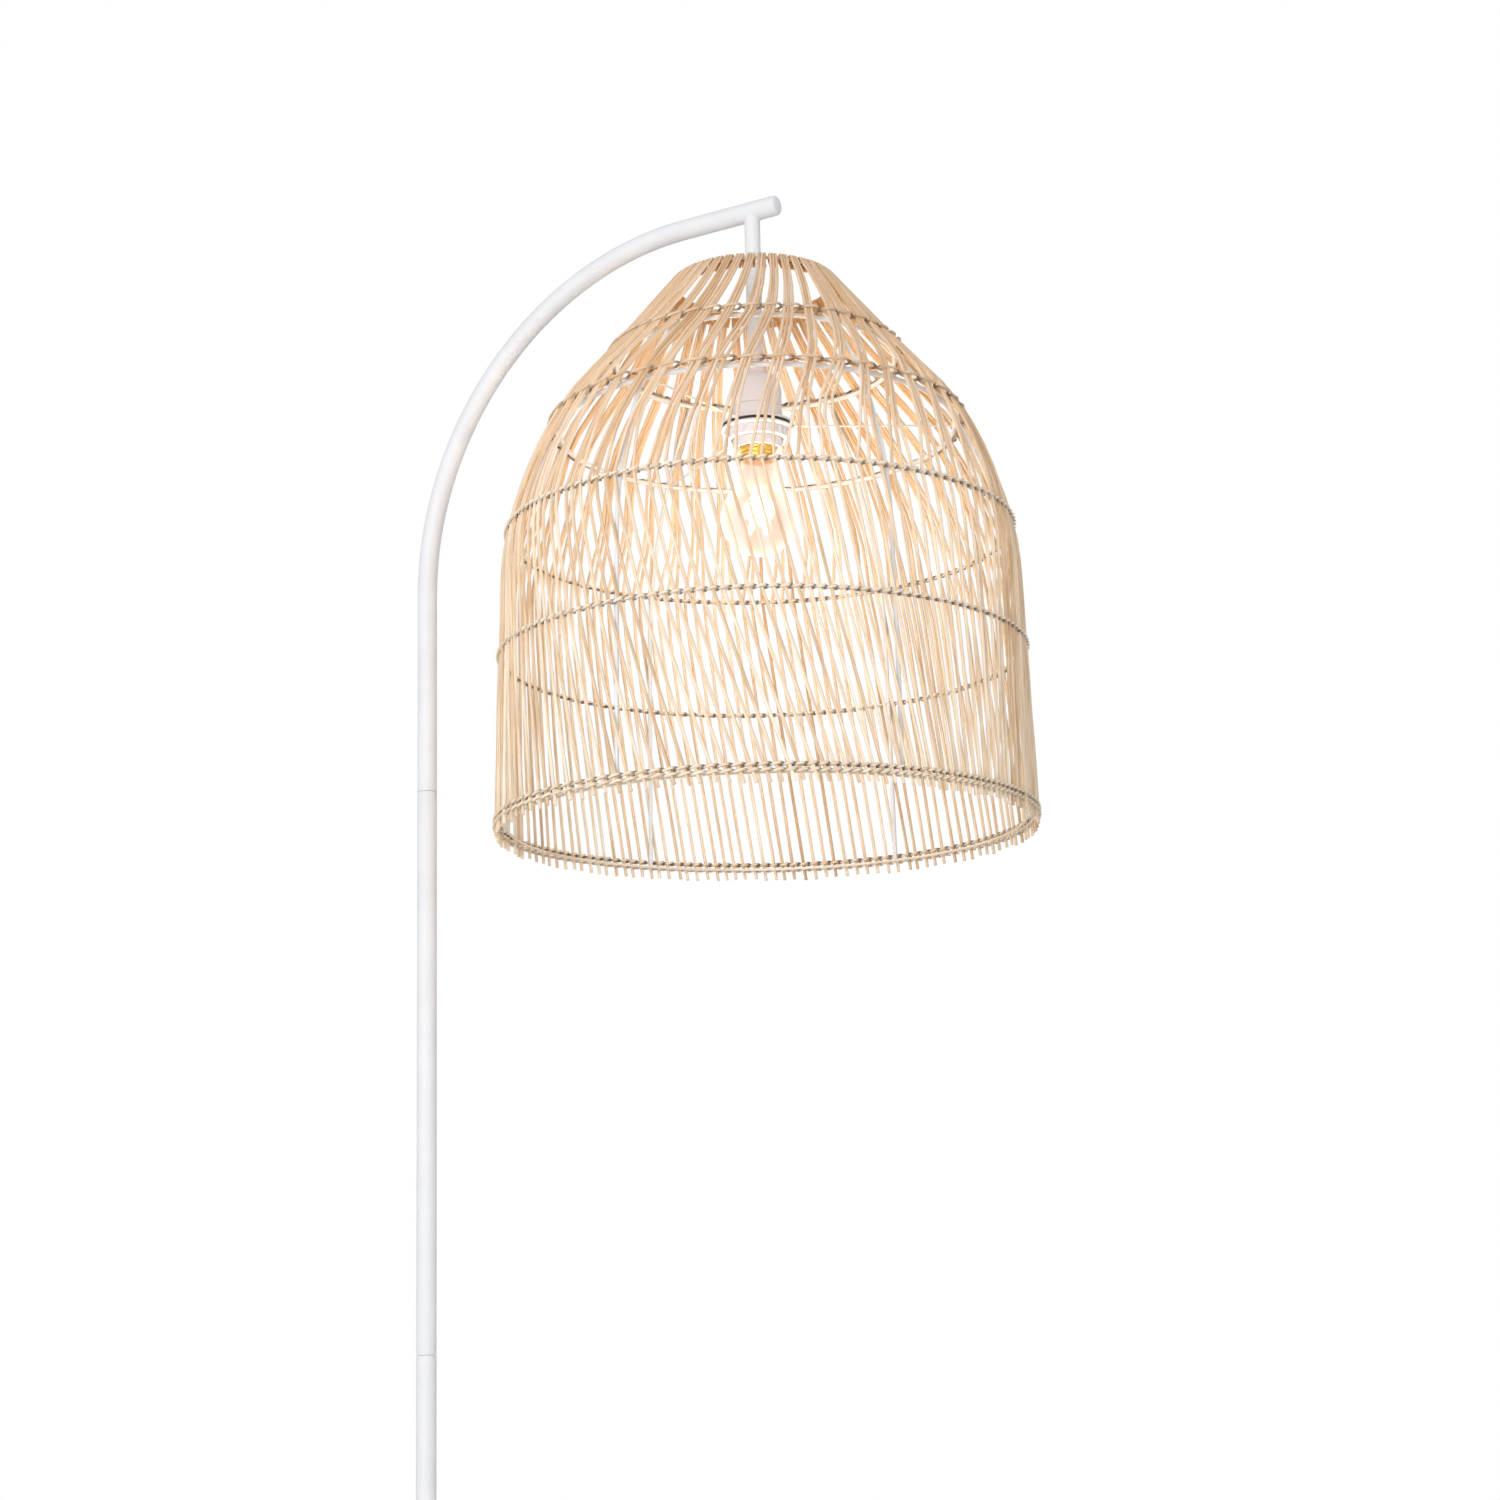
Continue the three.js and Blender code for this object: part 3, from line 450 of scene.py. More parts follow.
def glowing_strip():
    """Phosphor-coated strip that is switched on."""
    bead_size = 2 * MM
    material, tree, shader = start_material("glowing_phosphor_strip")
    set_inputs(tree, shader, {
        "Base Color": ramp(tree, noise(tree, bead_size), [(0.3, "#ffdf9a"), (0.7, "#fff0c4")]),
        "Roughness": 0.5, "Emission Color": linear("#fff0da"), "Emission Strength": 6})
    return material


finishes = {
    # Polyester powder baked on steel: satin, with a faint orange peel
    "powder_coat": grained(
        "white_powder_coated_steel", ("#dbdcdf", "#e1e2e5"), (0.5, 0.58), 1.6 * MM, 0.02 * MM),
    # Black steel disc: a painted shadow that stands for the shade in the gap under the holder's flange
    "black_paint": grained(
        "black_steel_painted_shadow", ("#1d1c1c", "#272525"), (0.45, 0.55), 1.2 * MM, 0.02 * MM),
    # Painted shade darkens and warms the canes towards the top, and painted shadow darkens them in the fold
    "cane": rattan("rattan_core_cane", "#fbf0df", "#f2dec4", "#cfad86", "#d29a5c"),
    # Painted shadow sits where the thin strands dive between the canes
    "cane_weave": rattan("rattan_core_weaver", "#fbf1e2", "#f3e2cb", "#dcc09f", "#49301b"),
    # Grey iron from a sand mould, painted thinly
    "iron": grained(
        "sand_cast_iron", ("#3c3c3d", "#4d4c4a"), (0.6, 0.8), 0.9 * MM, 0.25 * MM, 0.6),
    # Steel turned and zinc plated: cool, fairly bright
    "zinc_steel": grained(
        "zinc_plated_steel", ("#b4b7ba", "#c6c8c9"), (0.28, 0.4), 0.5 * MM, 0.02 * MM, 1.0),
    # Moulded thermoplastic for lamp holders: a fine even satin
    "holder_plastic": grained(
        "white_moulded_polyester", ("#e4e4ea", "#ebeaf0"), (0.35, 0.45), 0.8 * MM, 0.015 * MM),
    # Unglazed steatite: dry and faintly creamy
    "porcelain": grained(
        "unglazed_steatite", ("#e4dfd4", "#efeadf"), (0.55, 0.7), 0.4 * MM, 0.03 * MM),
    # Rolled brass strip, bright with a few darker patches
    "contact_brass": grained(
        "rolled_brass", ("#d8ab48", "#f6d67a"), (0.2, 0.34), 0.6 * MM, 0.02 * MM, 1.0),
    # Moulded rubber, dusty black
    "foot_rubber": grained(
        "moulded_rubber", ("#1f1f1f", "#2b2a29"), (0.8, 0.95), 0.7 * MM, 0.06 * MM),
    # Extruded vinyl sheath
    "lead_sheath": grained(
        "white_vinyl_sheath", ("#e2e2df", "#ebebe8"), (0.4, 0.5), 1.2 * MM, 0.02 * MM),
    "bulb_clear": etched_glass(),
    "filament_glow": glowing_strip(),
}


def between(places, share):
    """A value read off a table of (share, value) pairs, straight between them and on past the ends."""
    pair = next((i for i in range(1, len(places)) if share <= places[i][0]), len(places) - 1)
    (low, first), (high, second) = places[pair - 1], places[pair]
    return first + (second - first) * (share - low) / (high - low)


def smooth_through(xs, ys, steps):
    """Points on a Catmull-Rom curve through the ones given."""
    points = []
    last = len(xs) - 1
    for i in range(last):
        ends = [max(i - 1, 0), i, i + 1, min(i + 2, last)]
        for k in range(steps):
            t = k / steps
            weights = [
                -0.5 * t + t * t - 0.5 * t ** 3,
                1 - 2.5 * t * t + 1.5 * t ** 3,
                0.5 * t + 2 * t * t - 1.5 * t ** 3,
                -0.5 * t * t + 0.5 * t ** 3,
            ]
            points.append([sum(w * values[e] for w, e in zip(weights, ends)) for values in (xs, ys)])
    return points + [(xs[last], ys[last])]


wall_shares = smooth_through(hoop_height_shares, hoop_radius_shares, wall_steps)


def wall(share):
    """The shade wall's radius at a share of its height, and its way out as (radius, height)."""
    step = slope_step_share
    radius = rim_radius * between(wall_shares, share)
    rise = rim_radius * (between(wall_shares, share + step) - between(wall_shares, share - step))
    return radius, Vector((2 * step * shade_height, -rise)).normalized()


def round_axis(reach, turn, height):
    """A point beside the shade's axis, at a reach from it and a turn about it."""
    return axis + Vector((reach * math.cos(turn), reach * math.sin(turn), height))


def on_wall(share, turn, out):
    """A point of the shade's wall at a share of its height and a turn, or some way out from it."""
    radius, way = wall(share)
    return round_axis(radius + out * way.x, turn, shade_bottom + share * shade_height + out * way.y)


def reach_of(node):
    """How far a round CAD node reaches from the shade's axis."""
    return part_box(node)[1].x - axis.x


def middle_of(node):
    """The height of a CAD node's middle."""
    low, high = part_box(node)
    return (low.z + high.z) / 2


def on_weave(share, angle, out):
    """A point of the weave: height share, angle before the weave was pulled askew, distance out."""
    pull = between(skew_shares, share) * rim_radius / wall(share)[0]
    beside = skew_direction - angle
    turn = angle + math.radians(between(twist_degrees, share)) + pull * math.sin(beside)
    turn -= math.radians(between(draw_degrees, share)) * math.cos(2 * beside)
    return on_wall(share, turn, out)


def as_mesh(name, shape):
    """A BMesh as a mesh. The BMesh is freed."""
    mesh = bpy.data.meshes.new(name)
    shape.to_mesh(mesh)
    shape.free()
    return mesh


def placed(name, data):
    """A new object in the scene that shows this data."""
    made = bpy.data.objects.new(name, data)
    scene.collection.objects.link(made)
    return made


def mark_fibres(mesh, routes, radius, sides, tones, painted_shades):
    """Gives each point of some rods its rod's tone, its painted shade and its place among the fibres."""
    tone_values = []
    painted_shade_values = []
    fibre_values = []
    for number, route in enumerate(routes):
        tone = tones[number] if tones else middle_tone
        shift = Vector((chance.uniform(-1, 1), chance.uniform(-1, 1)))
        along = chance.uniform(0, 1)
        for i, place in enumerate(route):
            along += (place - route[i - 1]).length if i else 0
            for corner in range(sides):
                angle = full_turn * corner / sides
                tone_values.append(tone)
                painted_shade_values.append(painted_shades[number][i] if painted_shades else 0)
                fibre_values += [shift.x + radius * math.cos(angle), shift.y + radius * math.sin(angle),
                                 along]
    mesh.attributes.new("tone", "FLOAT", "POINT").data.foreach_set("value", tone_values)
    mesh.attributes.new("painted_shade", "FLOAT", "POINT").data.foreach_set("value", painted_shade_values)
    mesh.attributes.new("fibre", "FLOAT_VECTOR", "POINT").data.foreach_set("vector", fibre_values)


def rods(routes, radius, sides, closed=False, thickness=None, tones=None, painted_shades=None):
    """Round rods along routes of one length, as a mesh. Open ones get their ends closed."""
    curve = bpy.data.curves.new("rods", "CURVE")
    curve.dimensions = "3D"
    curve.bevel_depth = radius
    curve.bevel_resolution = sides // 2 - 2
    for route in routes:
        spline = curve.splines.new("POLY")
        spline.points.add(len(route) - 1)
        spline.use_cyclic_u = closed
        for i, place in enumerate(route):
            spline.points[i].co = (*place, 1)
            spline.points[i].radius = thickness[i] if thickness else 1
    source = placed("rods", curve)
    seen = source.evaluated_get(bpy.context.evaluated_depsgraph_get())
    mesh = bpy.data.meshes.new_from_object(seen)
    bpy.data.objects.remove(source)
    bpy.data.curves.remove(curve)
    mark_fibres(mesh, routes, radius, sides, tones, painted_shades)
    if not closed:
        shape = bmesh.new()
        shape.from_mesh(mesh)
        bmesh.ops.holes_fill(shape, edges=[e for e in shape.edges if e.is_boundary], sides=sides)
        bmesh.ops.recalc_face_normals(shape, faces=shape.faces)
        shape.to_mesh(mesh)
        shape.free()
    return mesh


def finish_piece(name, mesh, slot, body, *replaced):
    """A mesh as a finished piece that rides on a body and stands for CAD nodes."""
    if isinstance(mesh, bmesh.types.BMesh):
        mesh = as_mesh(name, mesh)
    mesh.materials.clear()
    mesh.materials.append(finishes[slot])
    mesh.shade_smooth()
    mesh.set_sharp_from_angle(angle=crease_angle)
    piece = placed(name, mesh)
    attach(piece, body)
    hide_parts(*replaced)
    return piece


def spun(profile, steps=turned_sides):
    """A profile of (radius, height) pairs turned once about Z, doubles merged and faces outward."""
    shape = bmesh.new()
    points = [shape.verts.new((radius, 0, height)) for radius, height in profile]
    edges = [shape.edges.new(pair) for pair in zip(points, points[1:])]
    bmesh.ops.spin(shape, geom=points + edges, axis=(0, 0, 1), angle=full_turn, steps=steps,
                   use_merge=True)
    bmesh.ops.remove_doubles(shape, verts=shape.verts, dist=same_place)
    bmesh.ops.recalc_face_normals(shape, faces=shape.faces)
    return shape


def moved(shape, matrix):
    """The same shape, moved by a matrix."""
    bmesh.ops.transform(shape, matrix=matrix, verts=shape.verts)
    return shape


def turned_piece(name, profile, slot, body, *replaced, steps=turned_sides):
    """A finished piece whose profile is turned about the shade's axis."""
    finish_piece(name, moved(spun(profile, steps), Matrix.Translation(axis)), slot, body, *replaced)


def looped(profile):
    """A profile that comes back to its first point."""
    return profile + profile[:1]


def arc(centre, radius, start, end, steps):
    """Points of an arc in a profile, between two angles in degrees."""
    turns = [math.radians(start + (end - start) * i / steps) for i in range(steps + 1)]
    return [(centre[0] + radius * math.cos(t), centre[1] + radius * math.sin(t)) for t in turns]


def wavy_side(radius, wave, threads, low, high, steps, start=0.0):
    """Side of a rolled thread: it swings in from the radius by twice the wave, and back."""
    turns = [start + full_turn * threads * i / steps for i in range(steps + 1)]
    return [(radius - wave * (1 - math.cos(turn)), low + (high - low) * i / steps)
            for i, turn in enumerate(turns)]


def edges_of(geometry):
    """The edges among some bmesh geometry."""
    return [g for g in geometry if isinstance(g, bmesh.types.BMEdge)]


def lengthened(shape, rim, way):
    """Extrudes a tube's open rim by a vector. Gives the new rim's edges."""
    made = bmesh.ops.extrude_edge_only(shape, edges=rim)["geom"]
    points = {g for g in made if isinstance(g, bmesh.types.BMVert)}
    bmesh.ops.translate(shape, vec=way, verts=list(points))
    return [e for e in edges_of(made) if points.issuperset(e.verts)]


def straight_tube(low, length):
    """A tube of the pole's radius up from a height, open and without a wall, and its top rim."""
    shape = bmesh.new()
    bmesh.ops.create_circle(shape, segments=pole_sides, radius=pole_radius,
                            matrix=Matrix.Translation((0, 0, low)))
    return shape, lengthened(shape, shape.edges[:], (0, 0, length))


def walled(shape, *heights):
    """Gives a tube of the pole its wall, and eases its outer edge where it ends at these heights."""
    near = 0.01 * MM
    bmesh.ops.recalc_face_normals(shape, faces=shape.faces)
    bmesh.ops.solidify(shape, geom=shape.faces[:], thickness=pole_wall)
    for height in heights:
        rim = [e for e in shape.edges
               if all(abs(v.co.z - height) < near and abs(v.co.xy.length - pole_radius) < near
                      for v in e.verts)]
        bmesh.ops.bevel(shape, geom=rim, offset=pole_edge, affect="EDGES", segments=2, profile=0.5,
                        material=-1)
    return shape


def make_pole():
    """Two straight tubes with eased edges, so that each screwed seam shows as a fine line."""
    for place in ("lower", "middle"):
        low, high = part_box(f"pole_{place}")
        shape, _ = straight_tube(low.z, high.z - low.z)
        finish_piece(f"{place}_tube", walled(shape, low.z, high.z), "powder_coat", "stand", f"pole_{place}")


def make_arm():
    """The top tube: straight up from the seam, once round the bend, and level to its end."""
    low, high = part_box("arm_tube")
    bend_centre = Vector((arm_bend_radius, 0, arm_height - arm_bend_radius))
    shape, rim = straight_tube(low.z, bend_centre.z - low.z)
    bend = bmesh.ops.spin(shape, geom=rim, cent=bend_centre, axis=(0, 1, 0),
                          angle=quarter_turn, steps=arm_bend_steps)
    lengthened(shape, edges_of(bend["geom_last"]), (high.x - arm_bend_radius, 0, 0))
    bmesh.ops.remove_doubles(shape, verts=shape.verts, dist=same_place)
    finish_piece("bent_arm", walled(shape, low.z), "powder_coat", "stand", "arm_tube")


def make_end_cap():
    """The domed cap at the arm's end, with its plug inside the tube."""
    edge = arc((pole_radius - cap_edge, 0), cap_edge, 0, cap_edge_degrees, cap_edge_steps)
    side, lift = edge[-1]
    turns = [quarter_turn * i / cap_dome_steps for i in range(1, cap_dome_steps + 1)]
    crown = [(side * math.cos(t), lift + (cap_dome - lift) * math.sin(t)) for t in turns]
    plug = pole_radius - pole_wall - plug_play
    cap = spun([(0, -plug_length), (plug, -plug_length), (plug, -cap_side), (pole_radius, -cap_side)]
               + edge + crown, pole_sides)
    start = Vector((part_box("arm_tube")[1].x + cap_gap, 0, arm_height))
    moved(cap, Matrix.Translation(start) @ Matrix.Rotation(quarter_turn, 4, "Y"))
    finish_piece("domed_cap", cap, "powder_coat", "stand", "arm_end_cap")


def make_drop():
    """The drop tube, whose weld flares up into the round underside of the arm."""
    near = 0.1 * MM
    low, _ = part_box("drop_tube")
    weld_start = arm_height - pole_radius - weld_leg
    flare = arc((drop_radius + weld_leg, weld_start), weld_leg, 180, 90, weld_steps)
    bore = drop_radius - drop_wall
    top = arm_height - pole_radius + weld_overlap
    shape = spun(looped(
        [(bore, low.z), (drop_radius, low.z), (drop_radius, weld_start - weld_margin)] + flare
        + [(drop_radius + weld_leg, top), (bore, top)]), drop_sides)
    # The weld follows the arm's round side, so it rises with the distance from the arm's middle
    for point in shape.verts:
        if point.co.z > weld_start - near:
            side = min(abs(point.co.y), pole_radius)
            point.co.z += pole_radius - math.sqrt(pole_radius ** 2 - side ** 2)
    moved(shape, Matrix.Translation(axis))
    finish_piece("drop_rod", shape, "powder_coat", "stand", "drop_tube")


def cut_hole(piece, cutter):
    """Cuts a closed shape out of a piece."""
    tool = placed("cutter", as_mesh("cutter", cutter))
    modifier = piece.modifiers.new("hole", "BOOLEAN")
    modifier.object = tool
    modifier.operation = "DIFFERENCE"
    modifier.solver = "EXACT"
    seen = piece.evaluated_get(bpy.context.evaluated_depsgraph_get())
    made = bpy.data.meshes.new_from_object(seen)
    piece.modifiers.remove(modifier)
    piece.data = made
    bpy.data.objects.remove(tool)


def make_foot():
    """Pressed steel cover with a rolled edge and the inlet's hole, and the rubber sheet under it."""
    low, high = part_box("foot_cover")
    radius = high.x
    corner = (radius - foot_edge_radius, high.z - foot_edge_radius)
    cover = spun(looped(
        [(radius, low.z)] + arc(corner, foot_edge_radius, 0, 90, foot_edge_steps)
        + [(stud_hole_radius, high.z), (stud_hole_radius, high.z - foot_wall)]
        + arc(corner, foot_edge_radius - foot_wall, 90, 0, foot_edge_steps)
        + [(radius - foot_wall, low.z)]), foot_sides)
    piece = finish_piece("foot_shell", cover, "powder_coat", "stand", "foot_cover")
    through = 2 * foot_edge_radius
    bore = spun([(0, 0), (inlet_hole_radius, 0), (inlet_hole_radius, through), (0, through)],
                inlet_sides)
    start = Matrix.Translation((-radius - inlet_overhang, 0, inlet_height))
    cut_hole(piece, moved(bore, start @ Matrix.Rotation(quarter_turn, 4, "Y")))

    low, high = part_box("foot_sheet")
    sheet = spun([(0, low.z), (high.x - sheet_edge, low.z), (high.x, low.z + sheet_edge),
                  (high.x, high.z), (0, high.z)], sheet_sides)
    finish_piece("rubber_sheet", sheet, "foot_rubber", "stand", "foot_sheet")


def make_bell_cap():
    """The holder's bell-shaped cap, with the hole for its nipple."""
    low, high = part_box("holder_cap")
    wide = reach_of("holder_cap")
    bell_top = high.z - bell_collar
    under = high.z - bell_wall
    turns = [quarter_turn * i / bell_steps for i in range(bell_steps + 1)]
    outside = [(bell_neck_radius + (wide - bell_neck_radius) * math.sin(t),
                bell_top - bell_height * (1 - math.cos(t))) for t in turns]
    inside = [(r - bell_wall, z - bell_wall) for r, z in outside]
    profile = [(nipple_hole_radius, under), (bell_neck_radius - bell_wall, under)] + inside
    profile += [(wide - bell_wall, low.z), (wide, low.z)] + outside[::-1]
    profile += [(bell_neck_radius, high.z - bell_edge), (bell_neck_radius - bell_edge, high.z),
                (nipple_hole_radius, high.z)]
    turned_piece("bell_cap", looped(profile), "holder_plastic", "stand", "holder_cap")


def make_skirt():
    """The holder's skirt: its thread for the screw ring, and the flange above that."""
    low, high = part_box("holder_skirt")
    flange = reach_of("holder_skirt")
    outer = reach_of("holder_cap")
    root = outer - thread_depth
    bore = outer - skirt_wall
    flange_top = high.z - flange_depth
    flange_low = flange_top - flange_thickness
    teeth = []
    for i in range(int((flange_low - low.z - thread_run_out) / thread_pitch)):
        base = low.z + thread_start + i * thread_pitch
        teeth += [(reach, base + thread_pitch * share)
                  for reach, share in zip((root, outer, outer, root), tooth_shares)]
    profile = [(bore, low.z), (root - skirt_bevel, low.z), (root, low.z + skirt_edge)] + teeth
    profile += [(root, flange_low), (flange - skirt_edge, flange_low), (flange, flange_low + skirt_edge),
                (flange, flange_top - skirt_edge), (flange - skirt_edge, flange_top),
                (outer, flange_top), (outer, high.z), (bore, high.z)]
    turned_piece("threaded_skirt", looped(profile), "holder_plastic", "stand", "holder_skirt")


def make_socket():
    """Ceramic insert, the brass screw shell in it, and the shell's lip in the holder's mouth."""
    low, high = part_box("holder_insert")
    reach = reach_of("holder_insert")
    shell_low, shell_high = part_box("screw_shell")
    shell_radius = reach_of("screw_shell")
    well = shell_radius + insert_play
    roof = shell_high.z + insert_play
    insert = [(0, roof), (well, roof), (well, low.z), (reach - insert_edge, low.z),
              (reach, low.z + insert_edge), (reach, high.z), (0, high.z)]
    turned_piece("steatite_insert", insert, "porcelain", "stand", "holder_insert")

    outside = wavy_side(shell_radius, shell_wave, shell_threads, shell_low.z, shell_high.z, thread_steps)
    inside = [(r - shell_wall, z) for r, z in reversed(outside)]
    turned_piece("threaded_shell", looped(outside + inside), "contact_brass", "stand", "screw_shell")

    inner = shell_radius - shell_wave
    outer = reach - lip_setback
    lip_high = low.z - lip_gap
    lip_low = lip_high - lip_thickness
    lip = [(inner, lip_low), (outer, lip_low), (outer, lip_high), (inner, lip_high)]
    turned_piece("shell_lip", looped(lip), "contact_brass", "stand")


def make_screw_ring():
    """Flange and ribbed collar that clamp the shade's carrier."""
    low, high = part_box("shade_ring")
    flange = reach_of("shade_ring")
    flange_low = high.z - ring_flange_thickness
    shape = spun(looped([
        (ring_bore, low.z + ring_edge), (ring_bore + ring_edge, low.z),
        (collar_radius - ring_edge, low.z), (collar_radius, low.z + ring_edge),
        (collar_radius, flange_low - collar_fillet), (collar_radius + collar_fillet, flange_low),
        (flange - ring_edge, flange_low), (flange, flange_low + ring_edge),
        (flange, high.z - ring_edge), (flange - ring_edge, high.z), (ring_bore, high.z),
    ]), rib_count * rib_steps)
    # The collar's ribs stand between hollows, which run up to the flange
    rib_top = flange_low - collar_fillet / 2
    for point in shape.verts:
        reach = point.co.xy.length
        if reach > collar_radius - 2 * ring_edge and point.co.z < rib_top:
            turn = math.atan2(point.co.y, point.co.x) * rib_count
            dip = rib_depth * (0.5 + 0.5 * math.tanh(rib_steepness * math.cos(turn)))
            point.co.xy *= (reach - dip) / reach
    moved(shape, Matrix.Translation(axis))
    finish_piece("ribbed_ring", shape, "holder_plastic", "ring", "shade_ring")


def make_bulb_cap():
    """The bulb's threaded cap, and the brass sleeve that grips the neck of the glass under it."""
    low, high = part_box("bulb_cap")
    radius = reach_of("bulb_cap")
    seat = low.z + cap_seat_depth
    # This thread starts and ends in a hollow
    thread = wavy_side(radius, cap_wave, cap_threads, low.z + cap_thread_start, high.z - cap_thread_end,
                       thread_steps, math.pi)
    profile = [(0, seat), (cap_seat_radius, seat), (cap_seat_radius, low.z), (radius, low.z)] + thread
    profile += [(reach * MM, high.z - depth * MM) for reach, depth in contact_profile]
    turned_piece("thread_cap", profile, "zinc_steel", "bulb", "bulb_cap")

    sleeve_low = low.z - sleeve_reach
    sleeve_high = low.z - sleeve_gap
    bore = radius - 2 * sleeve_wave - sleeve_wall
    side = wavy_side(radius, sleeve_wave, sleeve_threads, sleeve_low, sleeve_high, sleeve_steps)
    sleeve = looped([(bore, sleeve_low)] + side + [(bore, sleeve_high)])
    turned_piece("brass_sleeve", sleeve, "contact_brass", "bulb")


def make_glass():
    """The blown glass with its ball and neck, and the stem inside it."""
    low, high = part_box("bulb_glass")
    ball = reach_of("bulb_glass")
    centre = low.z + ball
    outside = arc((0, centre), ball, -90, glass_shoulder_degrees, glass_ball_steps)
    shoulder, shoulder_height = outside[-1]
    # From the ball the glass sweeps in to the neck along an easing curve
    for i in range(1, glass_sweep_steps + 1):
        t = i / glass_sweep_steps
        outside.append((shoulder + (glass_neck_radius - shoulder) * (1 - (1 - t) ** glass_sweep_power),
                        shoulder_height + (high.z - shoulder_height) * t))
    inside = [(max(r - glass_wall, 0), z + glass_wall * max(0, (centre - z) / ball)) for r, z in outside]
    turned_piece("blown_glass", outside + inside[::-1], "bulb_clear", "bulb", "bulb_glass")

    low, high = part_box("bulb_stem")
    foot = high.z - stem_foot_height
    stem = [(0, low.z), (stem_radius * stem_tip_share, low.z + stem_tip_rise),
            (stem_radius, low.z + stem_side_rise), (stem_radius, foot)]
    for i in range(1, stem_foot_steps + 1):
        t = i / stem_foot_steps
        stem.append((stem_radius + (stem_foot_radius - stem_radius) * t ** 2, foot + stem_foot_height * t))
    stem.append((0, high.z))
    turned_piece("glass_stem", stem, "bulb_clear", "bulb", "bulb_stem", steps=stem_sides)


def make_strips():
    """The glowing strips, spread at their feet."""
    for number in range(1, strip_count + 1):
        name = f"filament_{number}"
        low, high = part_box(name)
        turn = full_turn * (number - 1) / strip_count
        top = round_axis(strip_top_spread, turn, high.z)
        foot = round_axis(strip_foot_spread, turn, low.z)
        route = [top.lerp(foot, t / strip_steps) for t in range(strip_steps + 1)]
        mesh = rods([route], strip_radius, strip_sides)
        finish_piece(f"glow_strip_{number}", mesh, "filament_glow", "bulb", name)


def top_squeeze(share):
    """A cane's width as a share of its full one: towards the top ring it is drawn thin."""
    return 1 - (1 - band_top_share) * max(0, (share - neck_share) / (1 - neck_share))


def cane_route(band, number, tip, shares, band_play, side_play, bow):
    """One cane up the wall, from its tip under the rim to the top ring."""
    offset = number - (canes_per_band - 1) / 2
    even = full_turn / cane_count
    route = []
    for share in shares:
        share = max(share, -tip / shade_height)
        radius = wall(share)[0]
        close = cane_width * band_slack_share / radius * top_squeeze(share)
        fan = between(fan_shares, share)
        loose = min(1, max(0, (1 - share) / loose_share))
        angle = band * full_turn / cane_bands + offset * (close * (1 - fan) + even * fan)
        angle += loose * between(side_play, min(share, 1)) / radius
        angle += between(band_play, min(max(share, 0), 1)) / radius
        lift = bow * math.sin(share * cane_bow_turn + band + number) * loose
        route.append(on_weave(share, angle, lift))
    return route


def fold_route(band, number):
    """A cane over the top ring and down inside it, where its end is tucked away."""
    offset = number - (canes_per_band - 1) / 2
    top_radius, way = wall(1)
    up = Vector((-way.y, way.x))
    edge = Vector((top_radius, shade_bottom + shade_height))
    pitch = cane_width * band_slack_share * band_top_share / top_radius
    angle = band * full_turn / cane_bands + offset * pitch
    turns = [math.pi * step / fold_steps for step in range(1, fold_steps + 1)]
    steps = [(-fold_radius * (1 - math.cos(turn)), fold_radius * math.sin(turn)) for turn in turns]
    steps.append((-2 * fold_radius, -fold_tail))
    places = [edge + way * out + up * rise for out, rise in steps]
    return [round_axis(place.x, angle, place.y) for place in places]


def make_canes():
    """144 canes: folded over the top ring in threes, parting on the shoulder, cut off under the rim."""
    shares = [cane_start_share + (1 - cane_start_share) * i / cane_steps for i in range(cane_steps + 1)]
    routes = []
    tones = []
    for band in range(cane_bands):
        band_tone = chance.gauss(middle_tone, band_tone_play)
        band_play = [(0, 0), (upper_share, 0)] + [
            (share, chance.gauss(0, band_side_play))
            for share in (parting_share, shoulder_share, neck_share)] + [(1, 0)]
        for number in range(canes_per_band):
            side_play = [(share, chance.gauss(0, cane_side_play)) for share in hoop_height_shares]
            bow = chance.gauss(0, cane_bow)
            tip = cane_tip + chance.uniform(-cane_tip_play, cane_tip_play)
            routes.append(cane_route(band, number, tip, shares, band_play, side_play, bow)
                          + fold_route(band, number))
            tone = band_tone + chance.gauss(0, cane_tone_play)
            tones.append(min(max(tone, tone_margin), 1 - tone_margin))
    thickness = [top_squeeze(share) for share in shares] + [band_top_share] * (fold_steps + 1)
    # Painted shade by height up the wall, and painted shadow in the fold over the top ring
    painted_top_shade = [between(top_shade_shares, max(share, 0)) for share in shares]
    painted_top_shade += [fold_shadow_share] * (fold_steps + 1)
    mesh = rods(routes, cane_radius, cane_sides, thickness=thickness, tones=tones,
                painted_shades=[painted_top_shade] * len(routes))
    finish_piece("woven_canes", mesh, "cane", "shade", "cane_cage")


def make_top_ring():
    """The ring inside the fold."""
    ring = [on_wall(1, full_turn * i / top_ring_steps, -fold_radius) for i in range(top_ring_steps)]
    mesh = rods([ring], fold_radius - cane_radius, top_ring_sides, closed=True)
    finish_piece("top_ring", mesh, "cane_weave", "shade")


